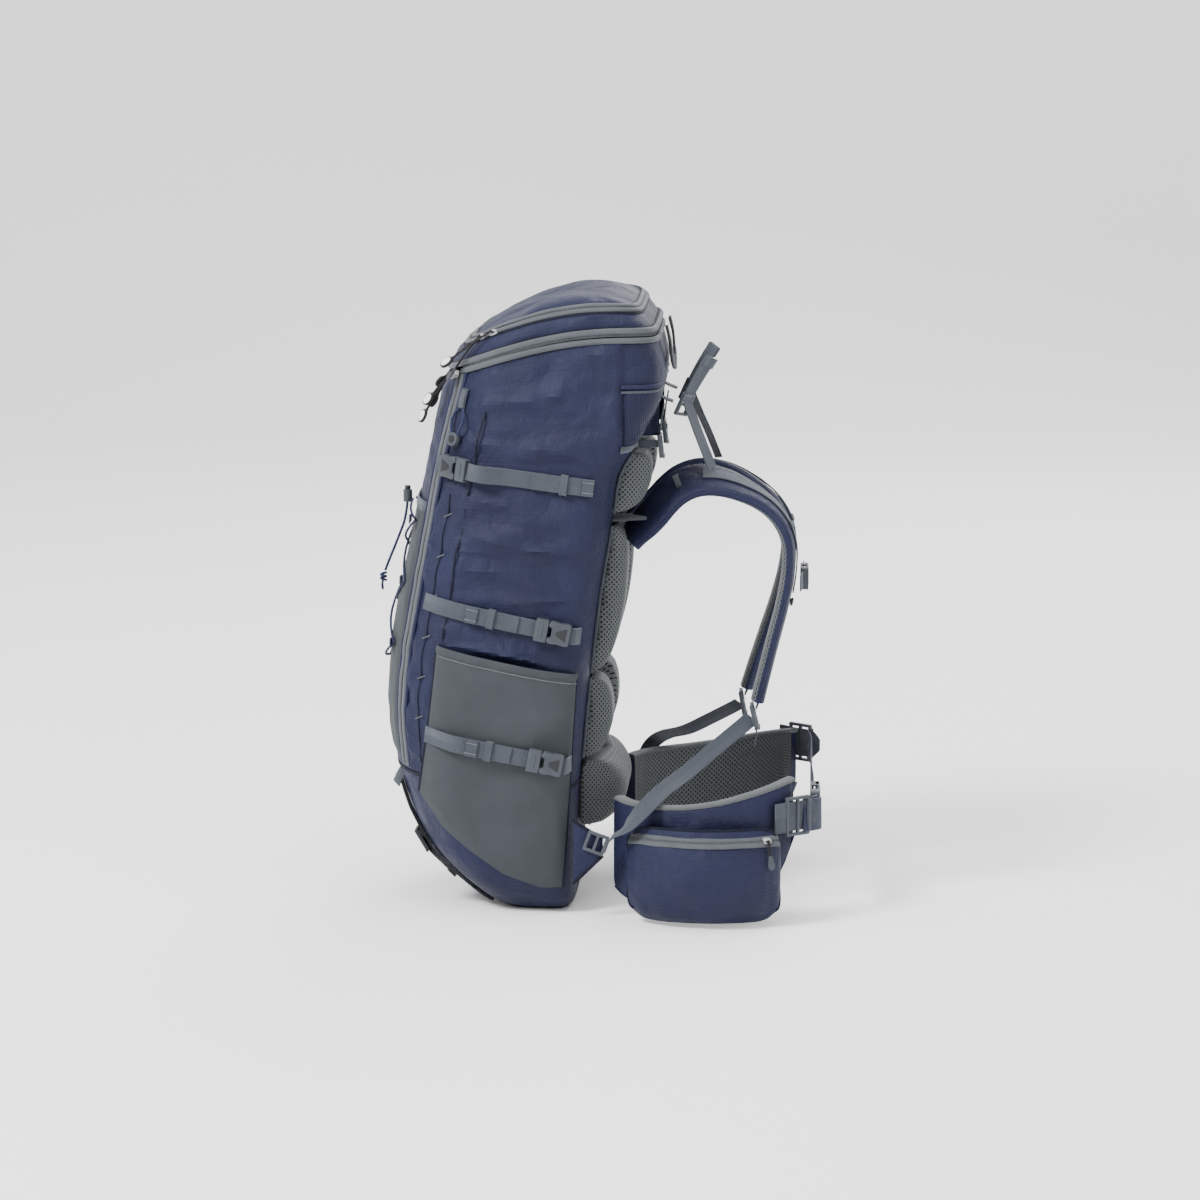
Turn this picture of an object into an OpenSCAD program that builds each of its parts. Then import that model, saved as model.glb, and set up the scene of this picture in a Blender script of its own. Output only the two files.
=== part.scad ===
// Hiking backpack: hollow bag with a zipped front panel and lid, harness, hip belt and straps.
// +X points to the wearer, +Y to the wearer's left, +Z up, and the bag stands on z = 0.

/* [Bag] */
// Height of the bag above the ground
bag_height = 731; // [500:1:850]
// Depth of the bag from the front face to the back panel
bag_depth = 331; // [240:1:420]
// Width of the bag at its widest
bag_width = 320; // [240:1:400]
// Thickness of the fabric walls
wall = 2; // [1:0.5:4]
// Gap left along each zip between two moving panels
zip_gap = 1.2; // [0.8:0.1:3]
// Width of the zip tape
tape_width = 9; // [6:0.5:14]
// Thickness of the zip tape and its coil
tape_thick = 1.6; // [1:0.1:3]

/* [Pockets] */
// Mouth of the side stretch pockets, measured out from the bag
side_pocket_mouth = 16; // [10:1:30]
// Mouth of the front stretch pocket, measured out from the panel
front_pocket_mouth = 9; // [7:1:20]
// Thickness of the stretch fabric
stretch_thick = 1.5; // [1:0.1:3]
// Depth of each hip pocket, measured out from the belt
hip_pocket_depth = 30; // [20:1:45]

/* [Straps] */
// Width of the compression webbing
comp_width = 20; // [15:1:25]
// Thickness of all webbing
web_thick = 1.6; // [1.2:0.1:2]
// Length of the closed side-release buckles
buckle_length = 42; // [36:1:50]
// How far a compression buckle's clip slides back to come free
release_travel = 20; // [16:1:24]
// How far the hip belt buckle's clip slides back to come free
hip_release_travel = 30; // [24:1:36]
// Clearance between plastic pieces that slide on each other
slide_clear = 0.5; // [0.3:0.1:0.8]
// Diameter of the lacing cord
cord_d = 3.2; // [2:0.2:5]

/* [Harness] */
// Width of the shoulder strap pads
strap_width = 64; // [50:1:80]
// Thickness of the shoulder strap pads
strap_thick = 17; // [10:1:22]
// Distance from the centre line to the middle of each shoulder strap
strap_offset = 66; // [55:1:80]
// Width of each column of back pads
pad_width = 66; // [50:1:80]
// Width of the lumbar pad
lumbar_width = 196; // [150:1:210]
// Thickness of the hip belt pads
belt_thick = 16; // [10:1:20]
// Width of the hip belt webbing
belt_web = 38; // [30:1:50]
// Angle by which the left shoulder strap has sagged back further than the right one
left_sag = 4; // [0:1:8]

/* [Hidden] */

// The outline stations below are drawn for a bag of this size and stretch with the bag.
NOMINAL = [331, 320, 731];
kx = bag_depth / NOMINAL[0];
ky = bag_width / NOMINAL[1];
kz = bag_height / NOMINAL[2];
function at(x, y, z) = [x * kx, y * ky, z * kz];

// Each station round the bag: front height, back height, crown, front x, back x, half width.
STATIONS = [
  [0, 0, 0, -114, -44, 100],
  [6, 3, 0, -140, -35, 122],
  [36, 14, 0, -176, -31, 140],
  [72, 44, 0, -209, -31, 150],
  [118, 95, 0, -234, -30, 156],
  [172, 160, 0, -250, -27, 160],
  [240, 232, 0, -257, -21, 160],
  [315, 308, 0, -250, -13, 160],
  [390, 384, 0, -236, -4, 158],
  [460, 456, 0, -223, 9, 155],
  [520, 520, 0, -212, 17, 152],
  [566, 560, 4, -203, 44, 148],
  [602, 604, 8, -195, 68, 143],
  [618, 644, 12, -190, 73, 139],
  [632, 684, 18, -184, 62, 134],
  [636, 688, 18, -184, 62, 134],
  [652, 700, 18, -178, 54, 131],
  [670, 716, 18, -160, 42, 122],
  [690, 722, 16, -134, 32, 102],
  [707, 728, 10, -100, 20, 74],
  [719, 731, 0, -62, 4, 38]
];
SEAM_ROW = 5;
RIM_ROW = 14;
LID_ROW = 15;
FLAP_ROW = 17;
TOP_ROW = 20;
FRONT_ROUND = 2.7;
BACK_ROUND = 7;
PANEL_ANGLE = 140;
STEP = 10;

function lerp(a, b, f) = a + (b - a) * f;
function signed_pow(v, p) = sign(v) * pow(abs(v), p);
function station(v) =
  let (i = min(floor(v), TOP_ROW - 1), f = v - i)
  [for (k = [0:5]) lerp(STATIONS[i][k], STATIONS[i + 1][k], f)];
// Position along the bag's depth (-1 front, 1 back) and width (-1 to 1) at angle t from the back.
function along(t) = signed_pow(cos(t), 2 / (cos(t) < 0 ? FRONT_ROUND : BACK_ROUND));
function across(t) = signed_pow(sin(t), 2 / (cos(t) < 0 ? FRONT_ROUND : BACK_ROUND));
// A point on the bag's skin at station v and angle t, moved out by off and up by dz.
function skin_point(v, t, off = 0, dz = 0) =
  let (s = station(v), c = along(t), f = (c + 1) / 2, half = (s[4] - s[3]) / 2)
  [kx * (s[3] + half) + (kx * half + off) * c,
   (ky * s[5] + off) * across(t),
   kz * (lerp(s[0], s[1], f) + s[2] * 4 * f * (1 - f)) + dz];
// The same point carried dz up or down the skin towards the next station.
function slide_point(v, t, off, dz) =
  let (p = skin_point(v, t, off), q = skin_point(dz < 0 ? v - 1 : v + 1, t, off))
  p + (q - p) * (dz / (q[2] - p[2]));
function ring(v, angles, off = 0, dz = 0) = [for (t = angles) skin_point(v, t, off, dz)];
// Height of station v above the point x, in nominal sizes.
function height_over(v, x) =
  let (s = station(v), f = (x - s[3]) / (s[4] - s[3]))
  lerp(s[0], s[1], f) + s[2] * 4 * f * (1 - f);
function station_over(x, z, lo = 0, hi = 14, n = 14) =
  n == 0 ? (lo + hi) / 2
  : height_over((lo + hi) / 2, x) > z
    ? station_over(x, z, lo, (lo + hi) / 2, n - 1)
    : station_over(x, z, (lo + hi) / 2, hi, n - 1);
// Half width of the bag at the nominal point (x, z) of its side.
function side_y(x, z) =
  let (s = station(station_over(x, z)), half = (s[4] - s[3]) / 2,
       u = max(-0.999, min(0.999, (x - s[3] - half) / half)), p = u < 0 ? FRONT_ROUND : BACK_ROUND)
  s[5] * pow(1 - pow(abs(u), p), 1 / p);
// Back panel's x at height z, in nominal sizes.
function back_x(z) = station(station_over(30, z))[4];

ALL = [for (t = [0:STEP:359]) t];
BODY = concat([-PANEL_ANGLE + 0.4], [for (t = [-130:STEP:130]) t], [PANEL_ANGLE - 0.4]);
PANEL = concat([PANEL_ANGLE + 0.4], [for (t = [150:STEP:210]) t], [360 - PANEL_ANGLE - 0.4]);

// A closed skin between an outer and an inner grid; cap closes its "first" or "last" row.
module skin(outer, inner, wrap = false, cap = "") {
  rows = len(outer);
  cols = len(outer[0]);
  n = rows * cols;
  last = wrap ? cols - 1 : cols - 2;
  function o(i, j) = i * cols + j % cols;
  function q(i, j) = n + i * cols + j % cols;
  walls = [for (i = [0:rows - 2]) for (j = [0:last]) each [
    [o(i, j), o(i + 1, j), o(i + 1, j + 1)], [o(i, j), o(i + 1, j + 1), o(i, j + 1)],
    [q(i, j), q(i + 1, j + 1), q(i + 1, j)], [q(i, j), q(i, j + 1), q(i + 1, j + 1)]]];
  top = cap == "last"
    ? [[for (j = [0:cols - 1]) o(rows - 1, cols - 1 - j)], [for (j = [0:cols - 1]) q(rows - 1, j)]]
    : [for (j = [0:last]) each [
      [o(rows - 1, j), q(rows - 1, j), q(rows - 1, j + 1)],
      [o(rows - 1, j), q(rows - 1, j + 1), o(rows - 1, j + 1)]]];
  foot = cap == "first"
    ? [[for (j = [0:cols - 1]) o(0, j)], [for (j = [0:cols - 1]) q(0, cols - 1 - j)]]
    : [for (j = [0:last]) each [[o(0, j), q(0, j + 1), q(0, j)], [o(0, j), o(0, j + 1), q(0, j + 1)]]];
  ends = wrap ? [] : [for (i = [0:rows - 2]) each [
    [o(i, 0), q(i, 0), q(i + 1, 0)], [o(i, 0), q(i + 1, 0), o(i + 1, 0)],
    [o(i, cols - 1), q(i + 1, cols - 1), q(i, cols - 1)],
    [o(i, cols - 1), o(i + 1, cols - 1), q(i + 1, cols - 1)]]];
  polyhedron(concat([for (r = outer) each r], [for (r = inner) each r]),
    concat(walls, top, foot, ends), convexity = 8);
}
// A closed solid lofted through rings of equal size, listed upwards.
module loft(rings) {
  cols = len(rings[0]);
  rows = len(rings);
  walls = [for (i = [0:rows - 2]) for (j = [0:cols - 1])
    let (a = i * cols + j, b = i * cols + (j + 1) % cols) each [[a, a + cols, b + cols], [a, b + cols, b]]];
  caps = [[for (j = [0:cols - 1]) j], [for (j = [0:cols - 1]) rows * cols - 1 - j]];
  polyhedron([for (r = rings) each r], concat(walls, caps), convexity = 4);
}

function unit(v) = v / norm(v);
function tangent(path, i) = unit(path[min(i + 1, len(path) - 1)] - path[max(i - 1, 0)]);
// A section swept along a path, with the section's own x lying along the direction side.
module sweep(path, section, side = [0, 1, 0]) {
  count = len(section);
  rings = len(path);
  points = [for (i = [0:rings - 1])
    let (t = tangent(path, i), w = unit(side - t * (side * t)), up = cross(t, w))
    for (s = section) path[i] + w * s[0] + up * s[1]];
  sides = [for (i = [0:rings - 2]) for (j = [0:count - 1])
    let (a = i * count + j, b = i * count + (j + 1) % count)
    each [[a, b, b + count], [a, b + count, a + count]]];
  caps = [[for (j = [0:count - 1]) count - 1 - j], [for (j = [0:count - 1]) (rings - 1) * count + j]];
  polyhedron(points, [for (f = concat(sides, caps)) [for (k = [len(f) - 1:-1:0]) f[k]]], convexity = 6);
}
function strip(w, h) = [[-w / 2, -h / 2], [w / 2, -h / 2], [w / 2, h / 2], [-w / 2, h / 2]];
function soft_strip(w, h, r) = [
  [-w / 2, -h / 2 + r], [-w / 2 + r, -h / 2], [w / 2 - r, -h / 2], [w / 2, -h / 2 + r],
  [w / 2, h / 2 - r], [w / 2 - r, h / 2], [-w / 2 + r, h / 2], [-w / 2, h / 2 - r]];
function disc(r, n) = [for (k = [0:n - 1]) [r * cos(360 * k / n), r * sin(360 * k / n)]];
// A smooth route through hand-chosen points, as a cubic through each of them.
function spline(p, n) = concat([for (i = [0:len(p) - 2]) for (k = [0:n - 1])
  let (f = k / n, a = p[max(i - 1, 0)], b = p[i], c = p[i + 1], d = p[min(i + 2, len(p) - 1)])
  b + f * ((c - a) / 2 + f * ((2 * a - 5 * b + 4 * c - d) / 2 + f * ((3 * b - 3 * c + d - a) / 2)))],
  [p[len(p) - 1]]);

// Right-hand pieces are drawn on the -Y side, and the left-hand ones are their mirror image.
// A ladder lock: a flat plate with two slots, its length along x and its webbing width along y.
module ladder_lock(w, length, thick = 5) {
  slot = (length - 3 * 4) / 2;
  difference() {
    cube([length, w + 9, thick], center = true);
    for (s = [-1, 1]) translate([s * (slot / 2 + 2), 0, 0]) cube([slot, w + 2, thick + 1], center = true);
  }
}
// Side-release buckle, closed at x = 0: the socket lies on -x and the clip's base on +x.
SOCKET_SHARE = 0.62;
module buckle_socket(w, length = buckle_length, thick = 10) {
  socket = length * SOCKET_SHARE;
  difference() {
    translate([-socket, -w / 2 - 3.5, 0]) cube([socket, w + 7, thick]);
    translate([-socket + 7, -w / 2 - 1, 2]) cube([socket, w + 2, thick - 4]);
    translate([-socket / 2 - 2, -5, thick - 3]) cube([socket / 2 - 5, 10, 4]);
  }
}
module buckle_clip(w, length = buckle_length, thick = 10) {
  base = length * (1 - SOCKET_SHARE);
  reach = length * SOCKET_SHARE - 7 - 2;
  difference() {
    translate([slide_clear, -w / 2 - 3.5, 0]) cube([base - slide_clear, w + 7, thick]);
    translate([-1, -w / 2 - slide_clear, 2]) cube([base + 2, w + 2 * slide_clear, web_thick + 2 * slide_clear]);
  }
  for (s = [-1, 1])
    translate([-reach, s * (w / 2 - 2.5) - 2, 2 + slide_clear + web_thick + 1.2])
      cube([reach + slide_clear + 0.5, 4, thick - 4 - 2 * slide_clear - web_thick - 1.2]);
}

// Fabric shells -------------------------------------------------------------------------------
module base_panel() {
  color("midnightblue") skin(
    [for (v = [0:SEAM_ROW]) ring(v, ALL)],
    [for (v = [0:SEAM_ROW]) ring(v, ALL, -wall, wall * max(0, 1 - v / 3))], wrap = true, cap = "first");
}
module side_back_panel() {
  color("darkslateblue") skin(
    [for (v = [SEAM_ROW:RIM_ROW]) ring(v, BODY)],
    [for (v = [SEAM_ROW:RIM_ROW]) ring(v, BODY, -wall)]);
}
module front_panel() {
  color("darkslateblue") skin(
    [for (v = [SEAM_ROW:RIM_ROW]) ring(v, PANEL, 0, v == SEAM_ROW ? zip_gap : 0)],
    [for (v = [SEAM_ROW:RIM_ROW]) ring(v, PANEL, -wall, v == SEAM_ROW ? zip_gap : 0)]);
}
module lid_wall() {
  color("darkslateblue") skin(
    [for (v = [LID_ROW:FLAP_ROW]) ring(v, ALL)],
    [for (v = [LID_ROW:FLAP_ROW]) ring(v, ALL, -wall)], wrap = true);
}
function level_ring(v, off, dz) = [for (t = ALL)
  let (p = skin_point(v, t, off), s = station(v)) [p[0], p[1], kz * lerp(s[0], s[1], (along(t) + 1) / 2) + dz]];
module lid_pocket_floor() {
  color("midnightblue") loft([for (dz = [0, wall]) level_ring(LID_ROW + 1, -wall - 1.5, dz)]);
}
module lid_top_flap() {
  rows = [for (v = [FLAP_ROW:TOP_ROW]) v];
  color("darkslateblue") skin(
    [for (v = rows) ring(v, ALL, 0, v == FLAP_ROW ? zip_gap : 0)],
    [for (v = rows) ring(v, ALL, -wall, v == FLAP_ROW ? zip_gap : -wall * (v - FLAP_ROW) / 3)],
    wrap = true, cap = "last");
}

// Zips ----------------------------------------------------------------------------------------
TAPE_GAP = 0.6;
// A band of tape that lies on the skin between two heights measured from station v.
module tape(v, angles, low, high, wrap = false) {
  color("slategray") skin(
    [for (dz = [low, high]) [for (t = angles) slide_point(v, t, TAPE_GAP + tape_thick, dz)]],
    [for (dz = [low, high]) [for (t = angles) slide_point(v, t, TAPE_GAP, dz)]], wrap = wrap);
}
module main_zip_tape() {
  tape(RIM_ROW, BODY, 3 - tape_width, 3 * kz);
}
module front_zip_tape() {
  rows = concat([for (v = [SEAM_ROW:RIM_ROW - 1]) v], [RIM_ROW - 0.75]);
  for (angles = [[PANEL_ANGLE - 3.1, PANEL_ANGLE - 0.5], [0.5 - PANEL_ANGLE, 3.1 - PANEL_ANGLE]])
    color("slategray") skin([for (v = rows) ring(v, angles, TAPE_GAP + tape_thick)],
      [for (v = rows) ring(v, angles, TAPE_GAP)]);
}
module lid_zip_tape() {
  tape(FLAP_ROW, ALL, -tape_width, 0, wrap = true);
  for (p = LID_PULLS) zip_slider(p);
}
// Stands a piece on the skin at station v and angle t: its x runs round the bag, its -y points out.
module on_skin(v, t, off = 0) {
  run = skin_point(v, t + 1) - skin_point(v, t - 1);
  translate(skin_point(v, t, off)) rotate([0, 0, atan2(run[1], run[0])]) children();
}
// A slider on the tape, and its cord and round pull, turned by lean round the bag and by tilt
// away from it. Each is listed as station, angle, drop, lean and tilt.
PULL_D = 17;
SLIDER_OUT = TAPE_GAP + tape_thick + 0.6;
SLIDER_THICK = 3;
MAIN_PULLS = [[13.7, 216, 22, -22, 30], [12.8, 214, 20, -12, 30]];
LID_PULLS = [[FLAP_ROW - 0.25, 238, 14, 8, 48], [FLAP_ROW - 0.25, 226, 12, 0, 52]];
module zip_slider(p) {
  color("dimgray") on_skin(p[0], p[1], SLIDER_OUT) translate([-4, -SLIDER_THICK, -3]) cube([8, SLIDER_THICK, 6]);
}
module zip_pull(p) {
  drop = p[2];
  on_skin(p[0], p[1], SLIDER_OUT + SLIDER_THICK + 1.6) rotate([-p[4], 0, 0]) rotate([0, p[3], 0]) {
    color("black") translate([-1, -1, -drop]) cube([2, 2, drop - 2]);
    color("white") translate([0, 1.6, 1 - drop - PULL_D / 2]) rotate([90, 0, 0])
      cylinder(d = PULL_D, h = 3.2, $fn = 48);
  }
}
module main_zip_sliders() {
  for (p = MAIN_PULLS) {
    zip_slider(p);
    mirror([0, 1, 0]) zip_slider(p);
  }
}
module main_zip_pulls_right() { for (p = MAIN_PULLS) zip_pull(p); }
module main_zip_pulls_left() { mirror([0, 1, 0]) main_zip_pulls_right(); }
module lid_zip_pulls() { for (p = LID_PULLS) zip_pull(p); }

// Frame and back ------------------------------------------------------------------------------
SHEET_LOW = 60;
SHEET_HIGH = 540;
sheet_thick = 1.5;
stay_thick = 3;
function back_line(gap) = [for (z = [SHEET_LOW:20:SHEET_HIGH]) at(back_x(z), 0, z) - [gap, 0, 0]];
module frame_sheet() {
  color("black") sweep(back_line(wall + 1.5 + sheet_thick / 2), strip(ky * 190, sheet_thick));
}
module frame_stays() {
  for (y = [-1, 1]) color("silver") translate([0, y * ky * 70, 0])
    sweep(back_line(wall + sheet_thick + 2 + stay_thick / 2), strip(12, stay_thick));
}
module hydration_sleeve() {
  gap = wall + sheet_thick + stay_thick + 4;
  rows = back_line(gap);
  color("midnightblue") skin(
    [for (p = rows) [for (u = [-1:0.25:1]) p + [1.5 - 22 * (1 - u * u), u * ky * 92, 0]]],
    [for (p = rows) [for (u = [-1:0.25:1]) p + [-22 * (1 - u * u), u * ky * 92, 0]]]);
}
// Side outlines of the pads; the bag's back stands just behind their first points.
PAD_GAP = 1;
module back_pad(low, high, bulge, width, y) {
  zs = [for (k = [0:6]) lerp(low, high, k / 6)];
  back = [for (z = zs) [kx * back_x(z) + PAD_GAP, kz * z]];
  front = [for (k = [6:-1:0]) [kx * back_x(zs[k]) + PAD_GAP + 8 + bulge * pow(sin(15 + 150 * k / 6), 0.6),
    kz * (zs[k] + (k == 6 ? -6 : k == 0 ? 6 : 0))]];
  color("gray") translate([0, y, 0]) rotate([90, 0, 0])
    linear_extrude(width, center = true) polygon(concat(back, front));
}
module back_pads_right() {
  y = -strap_offset;
  back_pad(478, 540, 34, pad_width, y);
  back_pad(286, 454, 20, pad_width, y);
  back_pad(184, 272, 26, pad_width, y);
}
module back_pads_left() { mirror([0, 1, 0]) back_pads_right(); }
module lumbar_pad() { back_pad(100, 172, 50, lumbar_width, 0); }

// Pockets -------------------------------------------------------------------------------------
POCKET_FOOT = [[-213, 146], [-185, 106], [-155, 80], [-114, 50], [-71, 34], [-46, 34]];
POCKET_TOP = [[-190, 321], [-110, 296], [-22, 290]];
function pocket_point(u, h, off) =
  let (x = lerp(lerp(-213, -190, h), lerp(-46, -30, h), u),
       z = lerp(lookup(x, POCKET_FOOT), lookup(x, POCKET_TOP), h),
       gap = 2 + side_pocket_mouth * pow(h, 1.5) * pow(sin(180 * u), 0.5))
  [kx * x, -ky * side_y(x, z) - gap - off, kz * z];
module side_pocket_right() {
  us = [for (k = [0:14]) k / 14];
  hs = [for (k = [0:10]) k / 10];
  color("gray") skin(
    [for (h = hs) [for (u = us) pocket_point(u, h, stretch_thick)]],
    [for (h = hs) [for (u = us) pocket_point(u, h, 0)]]);
}
module side_pocket_left() { mirror([0, 1, 0]) side_pocket_right(); }

FRONT_POCKET_TOP = 9.3;
FRONT_POCKET_ANGLES = [for (t = [146:8.5:214]) t];
function front_gap(v) = 0.5 + front_pocket_mouth * pow((v - SEAM_ROW) / (FRONT_POCKET_TOP - SEAM_ROW), 1.6);
function front_point(v, t, off = 0) =
  skin_point(v, t, front_gap(v) * pow(max(0, sin((t - 146) * 180 / 68)), 0.4) + 0.9 + off);
FRONT_ROWS = [for (k = [0:8]) lerp(SEAM_ROW + 0.05, FRONT_POCKET_TOP, k / 8)];
module front_pocket() {
  color("gray") skin(
    [for (v = FRONT_ROWS) [for (t = FRONT_POCKET_ANGLES) front_point(v, t, stretch_thick)]],
    [for (v = FRONT_ROWS) [for (t = FRONT_POCKET_ANGLES) front_point(v, t)]]);
}

// Front lacing --------------------------------------------------------------------------------
// Stations of the three pairs of lace tabs, from the top down, and their angle from the middle.
LACE_ROWS = [9.05, 8, 7];
LACE_ANGLE = 27;
LACE_OFF = stretch_thick + 5 + cord_d / 2;
module lace_tabs() {
  color("slategray") for (v = LACE_ROWS) for (s = [-1, 1]) {
    run = skin_point(v, 181 + s * LACE_ANGLE) - skin_point(v, 179 + s * LACE_ANGLE);
    translate(front_point(v, 180 + s * LACE_ANGLE, stretch_thick + 1)) rotate([0, 0, atan2(run[1], run[0])])
      translate([s * -7, -1, 0]) difference() {
        translate([-10, -6, -5]) cube([20, 6.5, 10]);
        translate([s * 7, -2 - cord_d / 2, -6]) cylinder(d = cord_d + 1.2, h = 12, $fn = 24);
      }
  }
}
// The cord crosses from side to side down the pocket, turns at the foot and crosses back up.
LACE_TOP = 9.25;
LACE_STOPS = [
  [LACE_TOP, 0.02], [9.05, 1], [8, -1], [7, 1], [6.6, 0], [7, -1], [8, 1], [9.05, -1], [LACE_TOP, -0.02]
];
function lace_point(k) =
  let (i = floor(k), f = k - i, a = LACE_STOPS[i], b = LACE_STOPS[min(i + 1, len(LACE_STOPS) - 1)],
       v = lerp(a[0], b[0], f), s = lerp(a[1], b[1], f), over = (k < 4 ? 1 : 0) * (1 - s * s) * (cord_d + 0.4))
  front_point(v, 180 + s * LACE_ANGLE, LACE_OFF + over);
module front_lace() {
  color("navy") sweep([for (k = [0:0.2:8]) lace_point(k)], disc(cord_d / 2, 8), side = [0, 0, 1]);
}

// Barrel cord lock at the top of the lacing, with a sprung plunger.
LOCK_D = 11;
LOCK_H = 15;
PLUNGER_D = 7;
lock_travel = 4;
CROSS_HOLE = 3.2;
LOCK_AT = front_point(LACE_TOP, 180, LACE_OFF) + [0, 0, CROSS_HOLE];
module lace_lock_body() {
  color("dimgray") translate(LOCK_AT) difference() {
    translate([0, 0, -LOCK_H / 2]) cylinder(d = LOCK_D, h = LOCK_H, $fn = 48);
    translate([0, 0, -0.5]) cylinder(d = PLUNGER_D + slide_clear, h = LOCK_H, $fn = 48);
    rotate([90, 0, 0]) translate([0, -CROSS_HOLE, -LOCK_D]) cylinder(d = cord_d + 1.2, h = 2 * LOCK_D, $fn = 24);
  }
}
module lace_lock_plunger() {
  color("black") translate(LOCK_AT + [0, 0, lock_travel + 0.5])
    cylinder(d = PLUNGER_D, h = LOCK_H / 2, $fn = 48);
}
// Free tail of the lacing cord: hand-chosen points from the lock to the knot.
TAIL_ROUTE = [
  [-239, 0, 471], [-240, 0, 462], [-243, 1, 447], [-249, 3, 431], [-255, 5, 416], [-260, 6, 404],
  [-264, 6, 394], [-267, 5, 386]
];
KNOT_AT = [-269, 5, 379];
module lace_tail() {
  color("navy") {
    sweep([for (p = TAIL_ROUTE) at(p[0], p[1], p[2])], disc(cord_d / 2, 8), side = [0, 1, 0]);
    translate(at(KNOT_AT[0], KNOT_AT[1], KNOT_AT[2])) sphere(d = 2.6 * cord_d, $fn = 24);
  }
}

// Compression straps --------------------------------------------------------------------------
// Each strap: front x, back x, height at the buckle, slope, x of the buckle's joint, turn of the
// buckle round the bag's front corner, and the side of the joint that its clip is on.
COMPRESSION = [
  [-192, -8, 530, 7.5, -164, 42, 1],
  [-207, -24, 343, 11.5, -60, 0, -1],
  [-206, -38, 191, 10.8, -68, 0, -1]
];
SOCKET = buckle_length * SOCKET_SHARE;
CLIP = buckle_length - SOCKET;
WEB_IN_CLIP = 2 + slide_clear + web_thick / 2;
// Gap between the bag's side and the buckle, which lies over the pocket on the bottom strap.
function strap_gap(i) = i == 2 ? side_pocket_mouth + 1 : 2.5;
function strap_joint(i) =
  let (c = COMPRESSION[i]) [kx * c[4], -ky * side_y(c[4], c[2]) - strap_gap(i), kz * c[2]];
module along_strap(i) {
  c = COMPRESSION[i];
  translate(strap_joint(i)) rotate([0, c[3], 0]) rotate([0, 0, -c[5]]) rotate([90, 0, 0])
    mirror([c[6] > 0 ? 0 : 1, 0, 0]) children();
}
// A point d along the strap from the joint, inside the clip's webbing slot.
function strap_line(i, d) =
  let (c = COMPRESSION[i], run = d * cos(c[5]) - WEB_IN_CLIP * sin(c[5]))
  strap_joint(i) + [run * cos(c[3]), -d * sin(c[5]) - WEB_IN_CLIP * cos(c[5]), -run * sin(c[3])];
// A point on the bag's side under the strap at the nominal x.
function strap_bed(i, x, gap) =
  let (c = COMPRESSION[i], z = c[2] - (x - c[4]) * tan(c[3]))
  [kx * x, -ky * side_y(x, z) - gap, kz * z];
module compression_webbing(i) {
  c = COMPRESSION[i];
  side = [sin(c[3]), 0, cos(c[3])];
  section = strip(comp_width, web_thick);
  over = i == 2 ? side_pocket_mouth - 1 : 0;
  color("slategray") if (c[6] > 0) {
    sweep([strap_line(i, CLIP / 2), strap_line(i, CLIP + release_travel + 2), strap_bed(i, -112, 4.5),
      strap_bed(i, -80, 3), strap_bed(i, -45, 3), strap_bed(i, c[1], 3)], section, side);
    sweep([strap_line(i, -SOCKET - 10), strap_line(i, -SOCKET - 1)], section, side);
  } else {
    // The front end is sewn beside the zip, and the back end beside the frame.
    sweep([strap_bed(i, c[0], 3 + over * 0.15), strap_bed(i, -198, 3.5 + over * 0.25),
      strap_bed(i, -188, 4 + over * 0.55),
      strap_bed(i, -172, 4 + over), strap_bed(i, -155, 4 + over), strap_bed(i, -135, 4 + over),
      strap_bed(i, -115, 4 + over),
      strap_line(i, -CLIP - release_travel - 2), strap_line(i, -CLIP / 2)], section, side);
    sweep([strap_line(i, SOCKET + 1), strap_bed(i, c[1], 3.2 + over / 2)], section, side);
  }
}
module compression_webbing_right() { for (i = [0:2]) compression_webbing(i); }
module compression_webbing_left() { mirror([0, 1, 0]) compression_webbing_right(); }
module compression_sockets_right() {
  color("dimgray") for (i = [0:2]) along_strap(i) buckle_socket(comp_width);
}
module compression_sockets_left() { mirror([0, 1, 0]) compression_sockets_right(); }
module compression_clip(i) { color("dimgray") along_strap(i) buckle_clip(comp_width); }
module clip_right_top() { compression_clip(0); }
module clip_right_middle() { compression_clip(1); }
module clip_right_bottom() { compression_clip(2); }
module clip_left_top() { mirror([0, 1, 0]) compression_clip(0); }
module clip_left_middle() { mirror([0, 1, 0]) compression_clip(1); }
module clip_left_bottom() { mirror([0, 1, 0]) compression_clip(2); }

// Base straps and tool keepers ----------------------------------------------------------------
BASE_STRAP_Y = 84;
BASE_LOCK_ROW = 3.1;
// Angle at which station v reaches the width y on the front of the bag.
function angle_at(v, y) =
  180 - asin(pow(y / (station(v)[5]), FRONT_ROUND / 2));
module base_straps() {
  color("black") for (s = [-1, 1])
    sweep([for (v = [4.6:-0.2:0.8]) skin_point(v, s * angle_at(v, BASE_STRAP_Y), 4.5)],
      strip(comp_width, web_thick));
}
module base_buckles() {
  color("dimgray") for (s = [-1, 1])
    translate(skin_point(BASE_LOCK_ROW, s * angle_at(BASE_LOCK_ROW, BASE_STRAP_Y), 10.5))
      rotate([0, 52, 0]) ladder_lock(comp_width, 30);
}
// A tab on the front corner with a bungee loop and its round cord lock.
module tool_keeper_right() {
  on_skin(11.4, 231, 3.5) rotate([-8, 0, 0]) {
    color("slategray") translate([-4, -1, 14]) cube([8, 2, 26]);
    color("royalblue") for (x = [-4, 4]) translate([x, -1, -5]) cylinder(d = cord_d, h = 22, $fn = 16);
    color("lightgray") translate([0, 1, -12]) rotate([90, 0, 0]) cylinder(d = 17, h = 6, $fn = 48);
  }
}
module tool_keeper_left() { mirror([0, 1, 0]) tool_keeper_right(); }

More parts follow.
